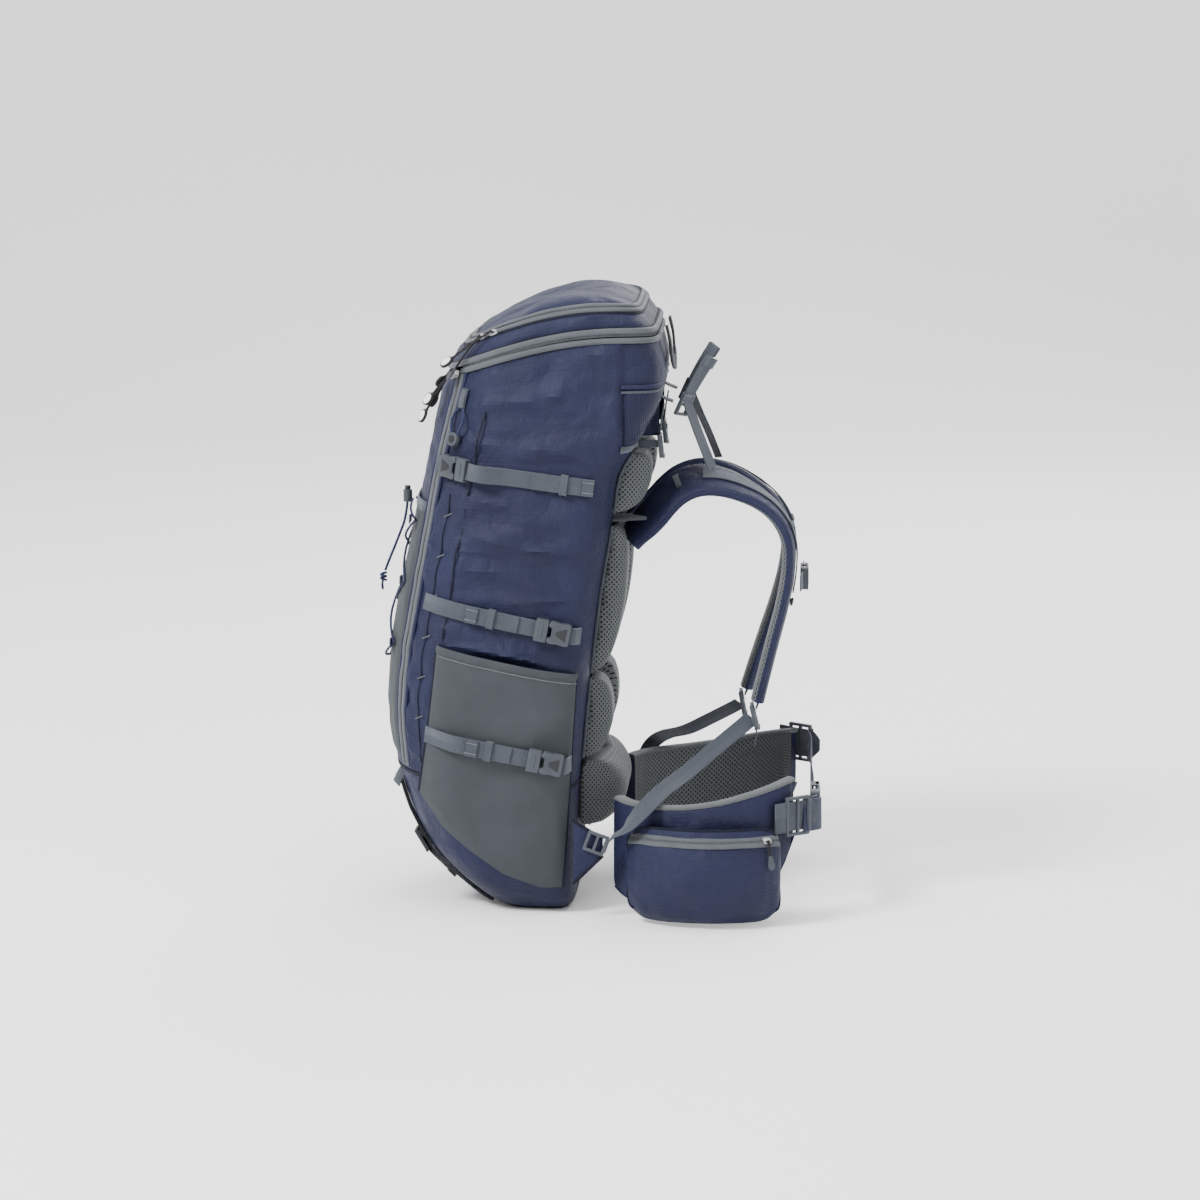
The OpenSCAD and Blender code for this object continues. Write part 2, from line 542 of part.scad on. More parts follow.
// Haul loop -----------------------------------------------------------------------------------
HAUL_X = 77;
HAUL_Z = 684;
HAUL_HALF = 50;
module haul_loop() {
  hang = [[-4, -1, 6], [0, -1, -12], [2, -0.82, -30], [4, -0.5, -40], [5, 0, -43]];
  route = concat([for (p = hang) at(HAUL_X + p[0], p[1] * HAUL_HALF, HAUL_Z + p[2])],
    [for (k = [3:-1:0]) at(HAUL_X + hang[k][0], -hang[k][1] * HAUL_HALF, HAUL_Z + hang[k][2])]);
  color("black") sweep(spline(route, 3), strip(4, 18), side = [1, 0, 0]);
}

// Shoulder harness ----------------------------------------------------------------------------
STRAP_ROUTE = [
  [62, 469], [72, 484], [87, 498], [107, 507], [130, 508], [156, 501], [186, 485], [207, 463],
  [218, 435], [218, 400], [211, 360], [201, 320], [191, 280], [183, 246]
];
STRAP_PIVOT = [58, 462];
function strap_centre(y = 0) = [for (p = STRAP_ROUTE) at(p[0], 0, p[1]) - [0, strap_offset + y, 0]];
module sagged(s) {
  pivot = at(STRAP_PIVOT[0], 0, STRAP_PIVOT[1]);
  if (s == "right") children();
  else translate(pivot) rotate([0, left_sag, 0]) translate(-pivot) mirror([0, 1, 0]) children();
}
module shoulder_pad(s) {
  color("darkslateblue") sagged(s)
    sweep(strap_curve, soft_strip(strap_width, strap_thick, 5));
}
module shoulder_pad_right() { shoulder_pad("right"); }
module shoulder_pad_left() { shoulder_pad("left"); }
STRAP_END = STRAP_ROUTE[len(STRAP_ROUTE) - 1];
LOCK_DROP = 20;
module shoulder_hardware(s) {
  sagged(s) {
    color("dimgray") translate(at(STRAP_END[0], 0, STRAP_END[1]) + [-4, -strap_offset, -LOCK_DROP])
      rotate([0, 76, 0]) ladder_lock(comp_width, 30);
    // Webbing sewn down the strap's face.
    color("slategray") sweep([for (k = [7:18])
      strap_curve[k] + (strap_thick / 2 + web_thick / 2 + 0.6) * cross(tangent(strap_curve, k), [0, 1, 0]) * -1],
      strip(comp_width, web_thick));
  }
}
strap_curve = spline(strap_centre(), 2);
module shoulder_hardware_right() { shoulder_hardware("right"); }
module shoulder_hardware_left() { shoulder_hardware("left"); }
module strap_anchors() {
  // Webbing that holds each shoulder strap's top end to the back panel, and the lifter webbing.
  color("slategray") for (s = [-1, 1]) {
    translate([0, s * strap_offset, 0]) {
      sweep([at(back_x(463) + 1, 0, 463), at(30, 0, 464), at(STRAP_PIVOT[0] - 7, 0, 465)], strip(50, 2));
      sweep([at(72, 0, 606), at(80, 0, 602.5)], strip(comp_width, web_thick));
      sweep([at(71, 0, 598), at(68, 0, 580), at(66.5, 0, 566)], strip(comp_width, web_thick));
    }
  }
}
LIFTER_AT = [95, 598];
module lifter_locks() {
  color("dimgray") for (s = [-1, 1]) {
    translate(at(LIFTER_AT[0], 0, LIFTER_AT[1]) + [0, s * strap_offset, 0]) rotate([0, 24, 0])
      ladder_lock(comp_width, 28);
    translate(at(67, 0, 550) + [0, s * strap_offset, 0]) rotate([0, 84, 0]) ladder_lock(comp_width, 28);
  }
}

// Webbing that gives as a strap swings: from its foot to the bag's rear corner, and from its
// crown up through the load lifter's lock to a free tail.
LOWER_ROUTE = [[176, -66, 224], [166, -73, 216], [138, -96, 196], [104, -130, 172], [74, -172, 156],
  [54, -197, 140], [34, -194, 118], [14, -178, 100]];
LIFTER_ROUTE = [[128, 523], [118, 548], [105.2, 580], [98.2, 603], [108, 624], [126, 654]];
// The ends on the shoulder strap sag with it by angle, and the ends on the bag stay.
function give(p, angle) =
  let (pivot = at(STRAP_PIVOT[0], 0, STRAP_PIVOT[1]), d = p - pivot)
  pivot + [d[0] * cos(angle) + d[2] * sin(angle), d[1], d[2] * cos(angle) - d[0] * sin(angle)];
module harness_webbing(sag) {
  last = len(LOWER_ROUTE) - 1;
  top = len(LIFTER_ROUTE) - 1;
  color("slategray") {
    sweep([for (i = [0:last]) let (p = LOWER_ROUTE[i])
      give([kx * p[0], p[1], kz * p[2]], sag * (i < 2 ? 1 : 1 - i / last))],
      strip(comp_width * 0.8, web_thick), side = [0, 0.5, 1]);
    sweep([for (i = [0:top]) let (p = LIFTER_ROUTE[i])
      give(at(p[0], 0, p[1]) - [0, strap_offset, 0], sag * max(0, 1 - i / 2))], strip(comp_width, web_thick));
  }
}
module harness_webbing_right() { harness_webbing(0); }
module harness_webbing_left() { mirror([0, 1, 0]) harness_webbing(left_sag); }

// Sternum strap: its socket hangs from the right strap and its clip from the left one.
STERNUM_Z = 386;
STERNUM_X = 232;
module on_sternum() {
  translate([kx * STERNUM_X, -8, kz * STERNUM_Z]) rotate([90, 0, 90]) children();
}
module sternum_socket() {
  socket = buckle_length * SOCKET_SHARE;
  on_sternum() {
    color("dimgray") buckle_socket(comp_width);
    color("slategray") translate([-strap_offset + 8, -comp_width / 2, 0.4])
      cube([strap_offset - 8 - socket, comp_width, web_thick]);
  }
}
module sternum_clip() {
  clip = buckle_length * (1 - SOCKET_SHARE);
  on_sternum() {
    color("dimgray") buckle_clip(comp_width);
    color("slategray") translate([clip, -comp_width / 2, 2 + slide_clear])
      cube([strap_offset - 14 - clip, comp_width, web_thick]);
  }
}

// Hip belt ------------------------------------------------------------------------------------
// Plan of the right wing from its root to its tip, with the pad's lower and upper edge.
WING = [
  [22, -124, 30, 138], [34, -150, 24, 138], [62, -176, 16, 138], [100, -190, 14, 140],
  [140, -192, 16, 146], [180, -182, 26, 156], [206, -166, 52, 163], [224, -148, 100, 168]
];
function wing_point(i, off) =
  let (a = WING[max(i - 1, 0)], b = WING[min(i + 1, len(WING) - 1)],
       d = unit([b[0] - a[0], b[1] - a[1], 0]))
  [WING[i][0] * kx + d[1] * off, WING[i][1] * ky - d[0] * off, 0];
function wing_ring(i) = [for (c = [[1, 0.12], [0.6, 0], [-0.6, 0], [-1, 0.12], [-1, 0.88], [-0.6, 1], [0.6, 1], [1, 0.88]])
  wing_point(i, c[0] * belt_thick / 2) + [0, 0, kz * lerp(WING[i][2], WING[i][3], c[1])]];
module hip_pad_right() { color("darkslateblue") loft([for (i = [0:len(WING) - 1]) wing_ring(i)]); }
module hip_pad_left() { mirror([0, 1, 0]) hip_pad_right(); }

POCKET_FIRST = 1.3;
POCKET_LAST = 6;
function hip_pocket_point(i, h, off) =
  let (k = lerp(POCKET_FIRST, POCKET_LAST, i), n = floor(min(k, POCKET_LAST - 0.001)), f = k - n,
       swell = 0.6 + hip_pocket_depth * pow(sin(180 * i), 0.45) * pow(sin(162 * h), 0.6),
       p = lerp(wing_point(n, belt_thick / 2 + swell + off), wing_point(n + 1, belt_thick / 2 + swell + off), f))
  p + [0, 0, kz * lerp(4, 118, h)];
module hip_pocket_right() {
  us = [for (k = [0:12]) k / 12];
  hs = [for (k = [0:6]) k / 6];
  color("darkslateblue") skin(
    [for (h = hs) [for (u = us) hip_pocket_point(u, h, stretch_thick)]],
    [for (h = hs) [for (u = us) hip_pocket_point(u, h, 0)]]);
}
module hip_pocket_left() { mirror([0, 1, 0]) hip_pocket_right(); }

HIP_BUCKLE = [246, -62, 120];
HIP_LENGTH = 62;
HIP_LOCK = [232, -162, 126];
module hip_lock() {
  translate(at(HIP_LOCK[0], HIP_LOCK[1], HIP_LOCK[2])) rotate([0, 0, 38]) rotate([90, 0, 0])
    ladder_lock(belt_web, 34);
}
module on_hip_buckle() {
  translate([kx * HIP_BUCKLE[0], HIP_BUCKLE[1], kz * HIP_BUCKLE[2]]) rotate([90, 0, 90]) children();
}
module hip_hardware_right() {
  socket = HIP_LENGTH * SOCKET_SHARE;
  color("dimgray") {
    hip_lock();
    on_hip_buckle() buckle_socket(belt_web, HIP_LENGTH, 12);
  }
  color("royalblue") sweep(spline([
    at(HIP_LOCK[0] + 9, HIP_LOCK[1] + 6, HIP_LOCK[2]), at(253, -142, 124),
    at(260, -126, 122), at(HIP_BUCKLE[0] + 11, 0, 120) + [0, HIP_BUCKLE[1] - socket - 12, 0],
    at(HIP_BUCKLE[0] + 6, 0, 120) + [0, HIP_BUCKLE[1] - socket, 0]], 3),
    strip(belt_web, web_thick), side = [0, 0, 1]);
}
module hip_hardware_left() {
  clip = HIP_LENGTH * (1 - SOCKET_SHARE);
  color("dimgray") mirror([0, 1, 0]) translate([0, 0, kz * 24]) hip_lock();
  color("royalblue") sweep(spline([
    [kx * HIP_BUCKLE[0] + 2 + slide_clear + web_thick / 2, HIP_BUCKLE[1] + clip / 2, kz * 120],
    [kx * HIP_BUCKLE[0] + 2 + slide_clear + web_thick / 2, HIP_BUCKLE[1] + clip + hip_release_travel + 16, kz * 121],
    at(246, 60, 132), at(246, 120, 146), at(241, 148, 150)], 3), strip(belt_web, web_thick), side = [0, 0, 1]);
}
module hip_clip() { color("dimgray") on_hip_buckle() buckle_clip(belt_web, HIP_LENGTH, 12); }

module stabilizer_straps() {
  for (s = [-1, 1]) {
    flap = [[-31, 118], [-31, 42], [4, 76], [4, 96]];
    color("darkslateblue") translate([0, s * (ky * 160 + 4), 0]) rotate([90, 0, 0])
      linear_extrude(web_thick, center = true) polygon([for (p = flap) [kx * p[0], kz * p[1]]]);
    color("dimgray") translate([kx * -4, s * (ky * 160 + 9), kz * 92]) rotate([0, 20, 0]) rotate([90, 0, 0])
      ladder_lock(comp_width * 0.8, 26, 4);
  }
}

base_panel();
side_back_panel();
front_panel();
lid_wall();
lid_pocket_floor();
lid_top_flap();
main_zip_tape();
front_zip_tape();
lid_zip_tape();
main_zip_sliders();
main_zip_pulls_right();
main_zip_pulls_left();
lid_zip_pulls();
frame_sheet();
frame_stays();
hydration_sleeve();
back_pads_right();
back_pads_left();
lumbar_pad();
side_pocket_right();
side_pocket_left();
front_pocket();
lace_tabs();
front_lace();
lace_lock_body();
lace_lock_plunger();
lace_tail();
compression_webbing_right();
compression_webbing_left();
compression_sockets_right();
compression_sockets_left();
clip_right_top();
clip_right_middle();
clip_right_bottom();
clip_left_top();
clip_left_middle();
clip_left_bottom();
base_straps();
base_buckles();
tool_keeper_right();
tool_keeper_left();
haul_loop();
strap_anchors();
lifter_locks();
shoulder_pad_right();
shoulder_pad_left();
shoulder_hardware_right();
shoulder_hardware_left();
harness_webbing_right();
harness_webbing_left();
sternum_socket();
sternum_clip();
hip_pad_right();
hip_pad_left();
hip_pocket_right();
hip_pocket_left();
hip_hardware_right();
hip_hardware_left();
hip_clip();
stabilizer_straps();
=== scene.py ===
"""Hiking backpack: the fabric, padding, webbing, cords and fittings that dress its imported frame.

Lengths are millimetres until a piece is made, and the frame's own metres after that.
+X points to the wearer, +Y to the wearer's left and +Z up. Pieces are drawn on the right, at -Y.
"""

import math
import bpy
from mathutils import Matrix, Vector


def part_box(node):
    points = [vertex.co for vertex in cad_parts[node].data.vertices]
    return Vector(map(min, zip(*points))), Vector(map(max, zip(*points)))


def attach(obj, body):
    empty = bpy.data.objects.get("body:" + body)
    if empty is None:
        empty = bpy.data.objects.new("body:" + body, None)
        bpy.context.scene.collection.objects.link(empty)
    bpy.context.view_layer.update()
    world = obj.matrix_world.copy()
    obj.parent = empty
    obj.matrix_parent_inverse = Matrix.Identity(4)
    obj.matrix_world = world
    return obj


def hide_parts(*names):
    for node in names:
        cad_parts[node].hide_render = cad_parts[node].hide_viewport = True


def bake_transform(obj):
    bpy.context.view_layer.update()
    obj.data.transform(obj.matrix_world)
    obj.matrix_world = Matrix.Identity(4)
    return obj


bl_info = {
    "name": "Hiking Backpack",
    "version": (1, 0, 0),
    "blender": (4, 5, 0),
    "location": "View3D > Sidebar > Backpack",
    "description": "Dresses the packed backpack frame with fabric, padding, webbing and fittings",
    "category": "Object",
}

import bmesh
import bpy
import numpy as np
from bpy.props import FloatProperty, FloatVectorProperty, PointerProperty
from mathutils import Matrix, Vector

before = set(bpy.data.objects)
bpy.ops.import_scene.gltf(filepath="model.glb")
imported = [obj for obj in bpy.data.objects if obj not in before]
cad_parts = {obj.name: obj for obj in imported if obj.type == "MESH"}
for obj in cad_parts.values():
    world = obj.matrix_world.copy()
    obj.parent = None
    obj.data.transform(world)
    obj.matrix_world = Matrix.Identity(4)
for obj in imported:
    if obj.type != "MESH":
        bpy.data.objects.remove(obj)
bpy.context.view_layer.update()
MM = 0.001


# Settings ------------------------------------------------------------------------------------

def colour(name, description, default):
    return FloatVectorProperty(
        name=name, description=description, default=default, subtype="COLOR", min=0, max=1)


class BackpackColours(bpy.types.PropertyGroup):
    """Colours of the backpack's fabrics and fittings"""

    navy: colour("Navy fabric", "Main coated nylon", (0.0098, 0.0118, 0.0345))
    lining: colour("Lining", "Coated inner face of the fabric", (0.016, 0.019, 0.040))
    stretch: colour("Stretch fabric", "Grey fabric of the stretch pockets", (0.034, 0.039, 0.044))
    webbing: colour("Webbing", "Grey compression and harness webbing", (0.046, 0.053, 0.066))
    zip_tape: colour("Zip tape", "Grey knitted zip tape", (0.062, 0.068, 0.077))
    spacer_mesh: colour("Spacer mesh", "Padding cover between its holes", (0.090, 0.098, 0.104))
    fittings: colour("Fittings", "Moulded buckles and locks", (0.040, 0.045, 0.054))
    cord: colour("Cord", "Elastic lacing cord", (0.016, 0.021, 0.056))
    disc: colour("Pull discs", "Faces of the zip pulls", (0.78, 0.78, 0.76))


class BackpackSizes(bpy.types.PropertyGroup):
    """Sizes of the backpack's soft detail"""

    fold_depth: FloatProperty(
        name="Fold depth", description="Height of the loose folds in the side fabric",
        default=0.0044, min=0, max=0.008, unit="LENGTH", subtype="DISTANCE")
    ripstop: FloatProperty(
        name="Ripstop cell", description="Spacing of the ripstop threads in the nylon",
        default=0.0048, min=0.002, max=0.01, unit="LENGTH", subtype="DISTANCE")
    mesh_cell: FloatProperty(
        name="Mesh cell", description="Spacing of the holes in the spacer mesh",
        default=0.0042, min=0.003, max=0.01, unit="LENGTH", subtype="DISTANCE")
    stitch: FloatProperty(
        name="Stitch", description="Length of one stitch with its gap",
        default=0.0036, min=0.002, max=0.008, unit="LENGTH", subtype="DISTANCE")


class BackpackStudio(bpy.types.PropertyGroup):
    """Camera and light of the stage"""

    distance: FloatProperty(
        name="Camera distance", description="From the camera to the point it looks at",
        default=5.6, min=1, max=20, unit="LENGTH", subtype="DISTANCE")
    azimuth: FloatProperty(
        name="Azimuth", description="Camera's turn from the backpack's right side",
        default=math.radians(3), subtype="ANGLE")
    elevation: FloatProperty(
        name="Elevation", description="Camera's height over the horizon",
        default=math.radians(9.5), subtype="ANGLE")
    lens: FloatProperty(
        name="Lens", description="Focal length in millimetres", default=140, min=20, max=300)
    brightness: FloatProperty(
        name="Brightness", description="Strength of the studio's soft light", default=1.0, min=0, max=5)


def colours():
    return bpy.context.scene.backpack_colours


def sizes():
    return bpy.context.scene.backpack_sizes


# Shader maths --------------------------------------------------------------------------------

class Wire:
    """A socket in a node tree. Arithmetic adds Math nodes, and node() adds any other node."""

    def __init__(self, tree, socket=None):
        self.tree, self.socket = tree, socket

    def node(self, kind, settings=None, inputs=None, output=0):
        made = self.tree.nodes.new("ShaderNode" + kind)
        for key, value in (settings or {}).items():
            setattr(made, key, value)
        for key, value in (inputs or {}).items():
            if isinstance(value, Wire):
                self.tree.links.new(value.socket, made.inputs[key])
            else:
                made.inputs[key].default_value = value
        return Wire(self.tree, made.outputs[output] if made.outputs else None)

    def pick(self, output):
        return Wire(self.tree, self.socket.node.outputs[output])

    def math(self, operation, *others):
        return self.node("Math", {"operation": operation}, dict(enumerate((self, *others))))

    def __add__(self, other):
        return self.math("ADD", other)

    def __sub__(self, other):
        return self.math("SUBTRACT", other)

    def __rsub__(self, other):
        return self * -1.0 + other

    def __mul__(self, other):
        return self.math("MULTIPLY", other)

    def __pow__(self, other):
        return self.math("POWER", other)

    def __abs__(self):
        return self.math("ABSOLUTE")

    __radd__ = __add__
    __rmul__ = __mul__

    def wave(self, period):
        """A wave from 0 to 1 along this value, which is a length in metres."""
        return (self * (2 * math.pi / period)).math("SINE") * 0.5 + 0.5

    def ramp(self, low, high):
        """0 below low, 1 over high, and smooth between."""
        return self.node("MapRange", {"interpolation_type": "SMOOTHSTEP"},
                         {"Value": self, "From Min": low, "From Max": high})

    def mix(self, low, high):
        """A colour between two colours, by this value."""
        ends = [c if isinstance(c, Wire) else (*c, 1) for c in (low, high)]
        return self.node("Mix", {"data_type": "RGBA"}, {0: self, 6: ends[0], 7: ends[1]}, output=2)

    def noise(self, size, detail=2.0):
        """Soft noise from 0 to 1 over the object, with features of about that size in metres."""
        place = self.node("TexCoord", output="Object")
        return self.node("TexNoise", inputs={"Vector": place, "Scale": 1 / size, "Detail": detail})


FINISHES = {}


def finish(build):
    """Keeps the material that a builder makes, so that it is made once."""
    def made():
        name = build.__name__
        if name not in FINISHES:
            material = bpy.data.materials.new(name)
            material.use_nodes = True
            material.node_tree.nodes.clear()
            FINISHES[name] = material
            build(Wire(material.node_tree))
        return FINISHES[name]
    return made


def shade(root, base, roughness, height=None, depth=0.0003, metallic=0.0, **fixed):
    """Ends a material: a Principled shader from a colour, a roughness and a height from 0 to 1."""
    inputs = {"Base Color": base if isinstance(base, Wire) else (*base, 1),
              "Roughness": roughness, "Metallic": metallic, "Specular IOR Level": 0.18}
    if height is not None:
        inputs["Normal"] = root.node("Bump", inputs={"Height": height, "Distance": depth, "Strength": 1.0})
    inputs.update({key.replace("_", " "): value for key, value in fixed.items()})
    shader = root.node("BsdfPrincipled", inputs=inputs)
    root.node("OutputMaterial", inputs={"Surface": shader})


def sheen(weight, roughness=0.4, tint=(0.8, 0.85, 0.92, 1)):
    """The soft sheen of a fabric."""
    return {"Sheen_Weight": weight, "Sheen_Roughness": roughness, "Sheen_Tint": tint}


def scaled(base, factor):
    return tuple(min(1.0, c * factor) for c in base)


def cloth_uv(root):
    """Metres across and along the cloth."""
    across = root.node("SeparateXYZ", inputs={"Vector": root.node("TexCoord", output="UV")})
    return across, across.pick(1)


def nylon(root, base, cell, ribs=False):
    """Coated nylon: crossing ripstop threads, a fine weave, faint fading and rubbed edges."""
    u, v = cloth_uv(root)
    threads = (u.wave(cell) ** 14.0).math("MAXIMUM", v.wave(cell) ** 14.0)
    weave = u.wave(0.0011) * v.wave(0.0009)
    fade = root.noise(0.11, 4.0)
    worn = root.node("NewGeometry", output="Pointiness").ramp(0.52, 0.60)
    shades = fade.ramp(0.3, 0.7).mix(scaled(base, 0.86), scaled(base, 1.12))
    shades = (threads * 0.22).mix(shades, scaled(base, 1.7))
    shades = (worn * 0.35).mix(shades, scaled(base, 2.0))
    crease = abs(root.noise(0.07, 1.6) - 0.5) * 30.0 + abs(root.noise(0.028, 2.0) - 0.5) * 9.0
    height = threads * 0.35 + weave * 0.3 + crease
    if ribs:
        rib = u.wave(0.0031)
        shades = (rib * 0.3).mix(shades, scaled(base, 1.6))
        height = rib * 1.2 + crease * 0.5
    shade(root, shades, 0.44 + fade * 0.2, height, 0.00045,
          **sheen(0.03, 0.4, (0.55, 0.6, 0.8, 1)))


@finish
def navy_nylon(root):
    nylon(root, colours().navy[:], sizes().ripstop)


@finish
def ribbed_nylon(root):
    nylon(root, scaled(colours().navy[:], 0.8), sizes().ripstop, ribs=True)


@finish
def nylon_lining(root):
    nylon(root, colours().lining[:], 0.003)


@finish
# Seam bands: the navy at a third of its brightness is painted shade for the seam grooves and creases; the
# stitch rows along them are the seam's own pattern.
def seam_painted_shade(root):
    base = scaled(colours().navy[:], 0.35)
    _, v = cloth_uv(root)
    shade(root, (v.wave(0.002) * 0.3).mix(base, scaled(base, 1.8)), 0.7, v.wave(0.002), 0.0002)


@finish
def grey_stretch(root):
    """Woven stretch: a fine diagonal twill, with slight unevenness."""
    base = colours().stretch[:]
    u, v = cloth_uv(root)
    twill = (u + v).wave(0.0016)
    blotch = root.noise(0.05, 4.0)
    shades = blotch.ramp(0.25, 0.75).mix(scaled(base, 0.9), scaled(base, 1.1))
    shades = (twill * 0.16).mix(shades, scaled(base, 1.5))
    height = twill * 0.35 + u.wave(0.0009) * v.wave(0.0009) * 0.3 + root.noise(0.01, 3.0) * 0.5
    shade(root, shades, 0.72 + blotch * 0.12, height, 0.0003,
          **sheen(0.05, 0.5, (0.8, 0.85, 0.9, 1)))


def herringbone(root, base, period=0.0021):
    """Webbing: diagonal ribs that turn back at the middle."""
    u, v = cloth_uv(root)
    side = abs(u)
    ribs = (side + v).wave(period)
    shades = ribs.mix(scaled(base, 0.72), scaled(base, 1.22))
    shades = (root.noise(0.03, 3.0).ramp(0.35, 0.75) * 0.3).mix(shades, scaled(base, 1.35))
    height = ribs + u.wave(0.0008) * 0.25
    shade(root, shades, 0.66 + ribs * 0.1, height, 0.0004,
          **sheen(0.25, 0.4, (0.8, 0.85, 0.95, 1)))


@finish
def grey_webbing(root):
    herringbone(root, colours().webbing[:])


@finish
def navy_webbing(root):
    herringbone(root, scaled(colours().navy[:], 1.05), 0.0026)


@finish
def black_webbing(root):
    herringbone(root, (0.020, 0.021, 0.024), 0.0024)


@finish
def zip_tape(root):
    """Knitted tape: fine ribs along its length and a faint cross stitch."""
    base = colours().zip_tape[:]
    u, v = cloth_uv(root)
    ribs, rows = u.wave(0.0011), v.wave(0.0013)
    fade = root.noise(0.04, 3.0)
    shades = (ribs * 0.35).mix(fade.ramp(0.3, 0.7).mix(scaled(base, 0.88), scaled(base, 1.08)),
                               scaled(base, 1.4))
    shade(root, shades, 0.6 + rows * 0.15, ribs * 0.6 + rows * 0.4, 0.00025,
          **sheen(0.2, 0.4, (0.8, 0.85, 0.9, 1)))


@finish
def zip_coil(root):
    base = (0.055, 0.058, 0.064)
    _, v = cloth_uv(root)
    teeth = v.wave(0.0021)
    shade(root, (teeth * 0.6).mix(base, scaled(base, 2.0)), 0.38 + teeth * 0.1, teeth, 0.0006)


def open_mesh(root, first, second, cell, base):
    """Spacer mesh: diamond holes painted near black as painted shade, and round threads painted lighter as
    painted highlight.
    """
    slant, other = (first + second).wave(cell * 1.42), (first - second).wave(cell * 1.42)
    hole = (slant * other).ramp(0.24, 0.42)
    thread = (slant.math("MAXIMUM", other)) * 0.5
    soft = root.noise(0.05, 3.0)
    # Lighter along the threads: painted highlight on the round threads.
    shades = (thread * 0.35 + soft * 0.2).mix(scaled(base, 0.82), scaled(base, 1.3))
    # Near black in the holes: painted shade for the depth of the holes.
    shades = hole.mix(shades, (0.010, 0.011, 0.012))
    shade(root, shades, 0.62 + hole * 0.3, (1.0 - hole) + thread * 0.2, 0.0011,
          **sheen(0.15, 0.5, (0.8, 0.85, 0.85, 1)))


@finish
def mesh_on_cloth(root):
    u, v = cloth_uv(root)
    open_mesh(root, u, v, sizes().mesh_cell, colours().spacer_mesh[:])


@finish
def mesh_on_pads(root):
    """The same mesh, wrapped round the back pads from their outer sides to their faces."""
    place = root.node("SeparateXYZ", inputs={"Vector": root.node("TexCoord", output="Object")})
    open_mesh(root, place - abs(place.pick(1)), place.pick(2), sizes().mesh_cell,
              colours().spacer_mesh[:])


@finish
def plain_knit(root):
    """Close knit on the pads' edges, without holes."""
    base = scaled(colours().spacer_mesh[:], 0.95)
    u, v = cloth_uv(root)
    knit = u.wave(0.0014) * v.wave(0.0014)
    shade(root, (knit * 0.5).mix(scaled(base, 0.85), scaled(base, 1.25)), 0.75 + knit * 0.1, knit, 0.0004,
          **sheen(0.2, 0.5, (0.8, 0.85, 0.85, 1)))


def moulded(root, base, gloss, grain=0.0009):
    """Moulded plastic: a fine moulded grain, rubbed lighter on its edges."""
    worn = root.node("NewGeometry", output="Pointiness").ramp(0.51, 0.58)
    cloud = root.noise(0.02, 4.0)
    shades = (cloud * 0.5).mix(scaled(base, 0.85), scaled(base, 1.1))
    shades = (worn * 0.5).mix(shades, scaled(base, 1.8))
    grains = root.noise(grain, 2.0)
    shade(root, shades, gloss + grains * 0.16, grains, 0.00012)


@finish
def grey_acetal(root):
    moulded(root, colours().fittings[:], 0.34)


@finish
def black_acetal(root):
    moulded(root, (0.016, 0.017, 0.019), 0.36)


@finish
def pull_rubber(root):
    moulded(root, (0.014, 0.014, 0.015), 0.5)


@finish
def white_disc(root):
    """A moulded disc face with a faint cloudy grain."""
    base = colours().disc[:]
    cloud = root.noise(0.004, 3.0)
    shade(root, cloud.mix(scaled(base, 0.9), base), 0.28 + cloud * 0.12, cloud, 0.00015)


@finish
def slider_metal(root):
    """Cast zinc under a dark nickel plate, rubbed bright on its edges."""
    worn = root.node("NewGeometry", output="Pointiness").ramp(0.5, 0.6)
    cloud = root.noise(0.003, 3.0)
    shade(root, worn.mix((0.16, 0.16, 0.17), (0.6, 0.6, 0.62)), 0.3 + cloud * 0.2, cloud, 0.00008,
          metallic=0.9)


@finish
def stay_metal(root):
    """Mill finish aluminium, with fine drawn lines along the bar."""
    place = root.node("SeparateXYZ", inputs={"Vector": root.node("TexCoord", output="Object")})
    drawn = place.pick(1).wave(0.0007) * 0.5 + root.noise(0.01, 4.0) * 0.5
    shade(root, drawn.mix((0.52, 0.53, 0.55), (0.68, 0.69, 0.71)), 0.3 + drawn * 0.15, drawn, 0.00006,
          metallic=0.95)


@finish
def sheet_plastic(root):
    moulded(root, (0.022, 0.023, 0.025), 0.42, 0.002)


def braid(root, base, fleck):
    """Braided cord: crossing strands, with a few lighter flecks."""
    u, v = cloth_uv(root)
    strands = (v + u).wave(0.0021).math("MAXIMUM", (v - u).wave(0.0021))
    shades = (strands * 0.6).mix(scaled(base, 0.6), scaled(base, 1.5))
    flecks = ((v + u * 2.0).wave(0.0083) ** 12.0) * 0.5
    shade(root, flecks.mix(shades, fleck), 0.6 + strands * 0.15, strands, 0.0004)


@finish
def navy_cord(root):
    braid(root, colours().cord[:], (0.06, 0.07, 0.12))


@finish
def black_cord(root):
    braid(root, (0.014, 0.014, 0.016), (0.05, 0.05, 0.055))


@finish
def cord_core(root):
    shade(root, root.noise(0.0006, 2.0).mix((0.45, 0.45, 0.43), (0.7, 0.7, 0.68)), 0.7,
          root.noise(0.0005, 2.0), 0.0002)


@finish
def grey_thread(root):
    _, v = cloth_uv(root)
    twist = v.wave(0.0012)
    shade(root, twist.mix((0.20, 0.215, 0.23), (0.34, 0.36, 0.38)), 0.6 + twist * 0.1, twist, 0.0002)


@finish
def floor_paint(root):
    """Matt studio floor, very slightly uneven."""
    cloud = root.noise(0.6, 3.0)
    shade(root, cloud.mix((0.93, 0.93, 0.93), (0.95, 0.95, 0.95)), 0.8 + cloud * 0.1)


# The bag's outline ---------------------------------------------------------------------------

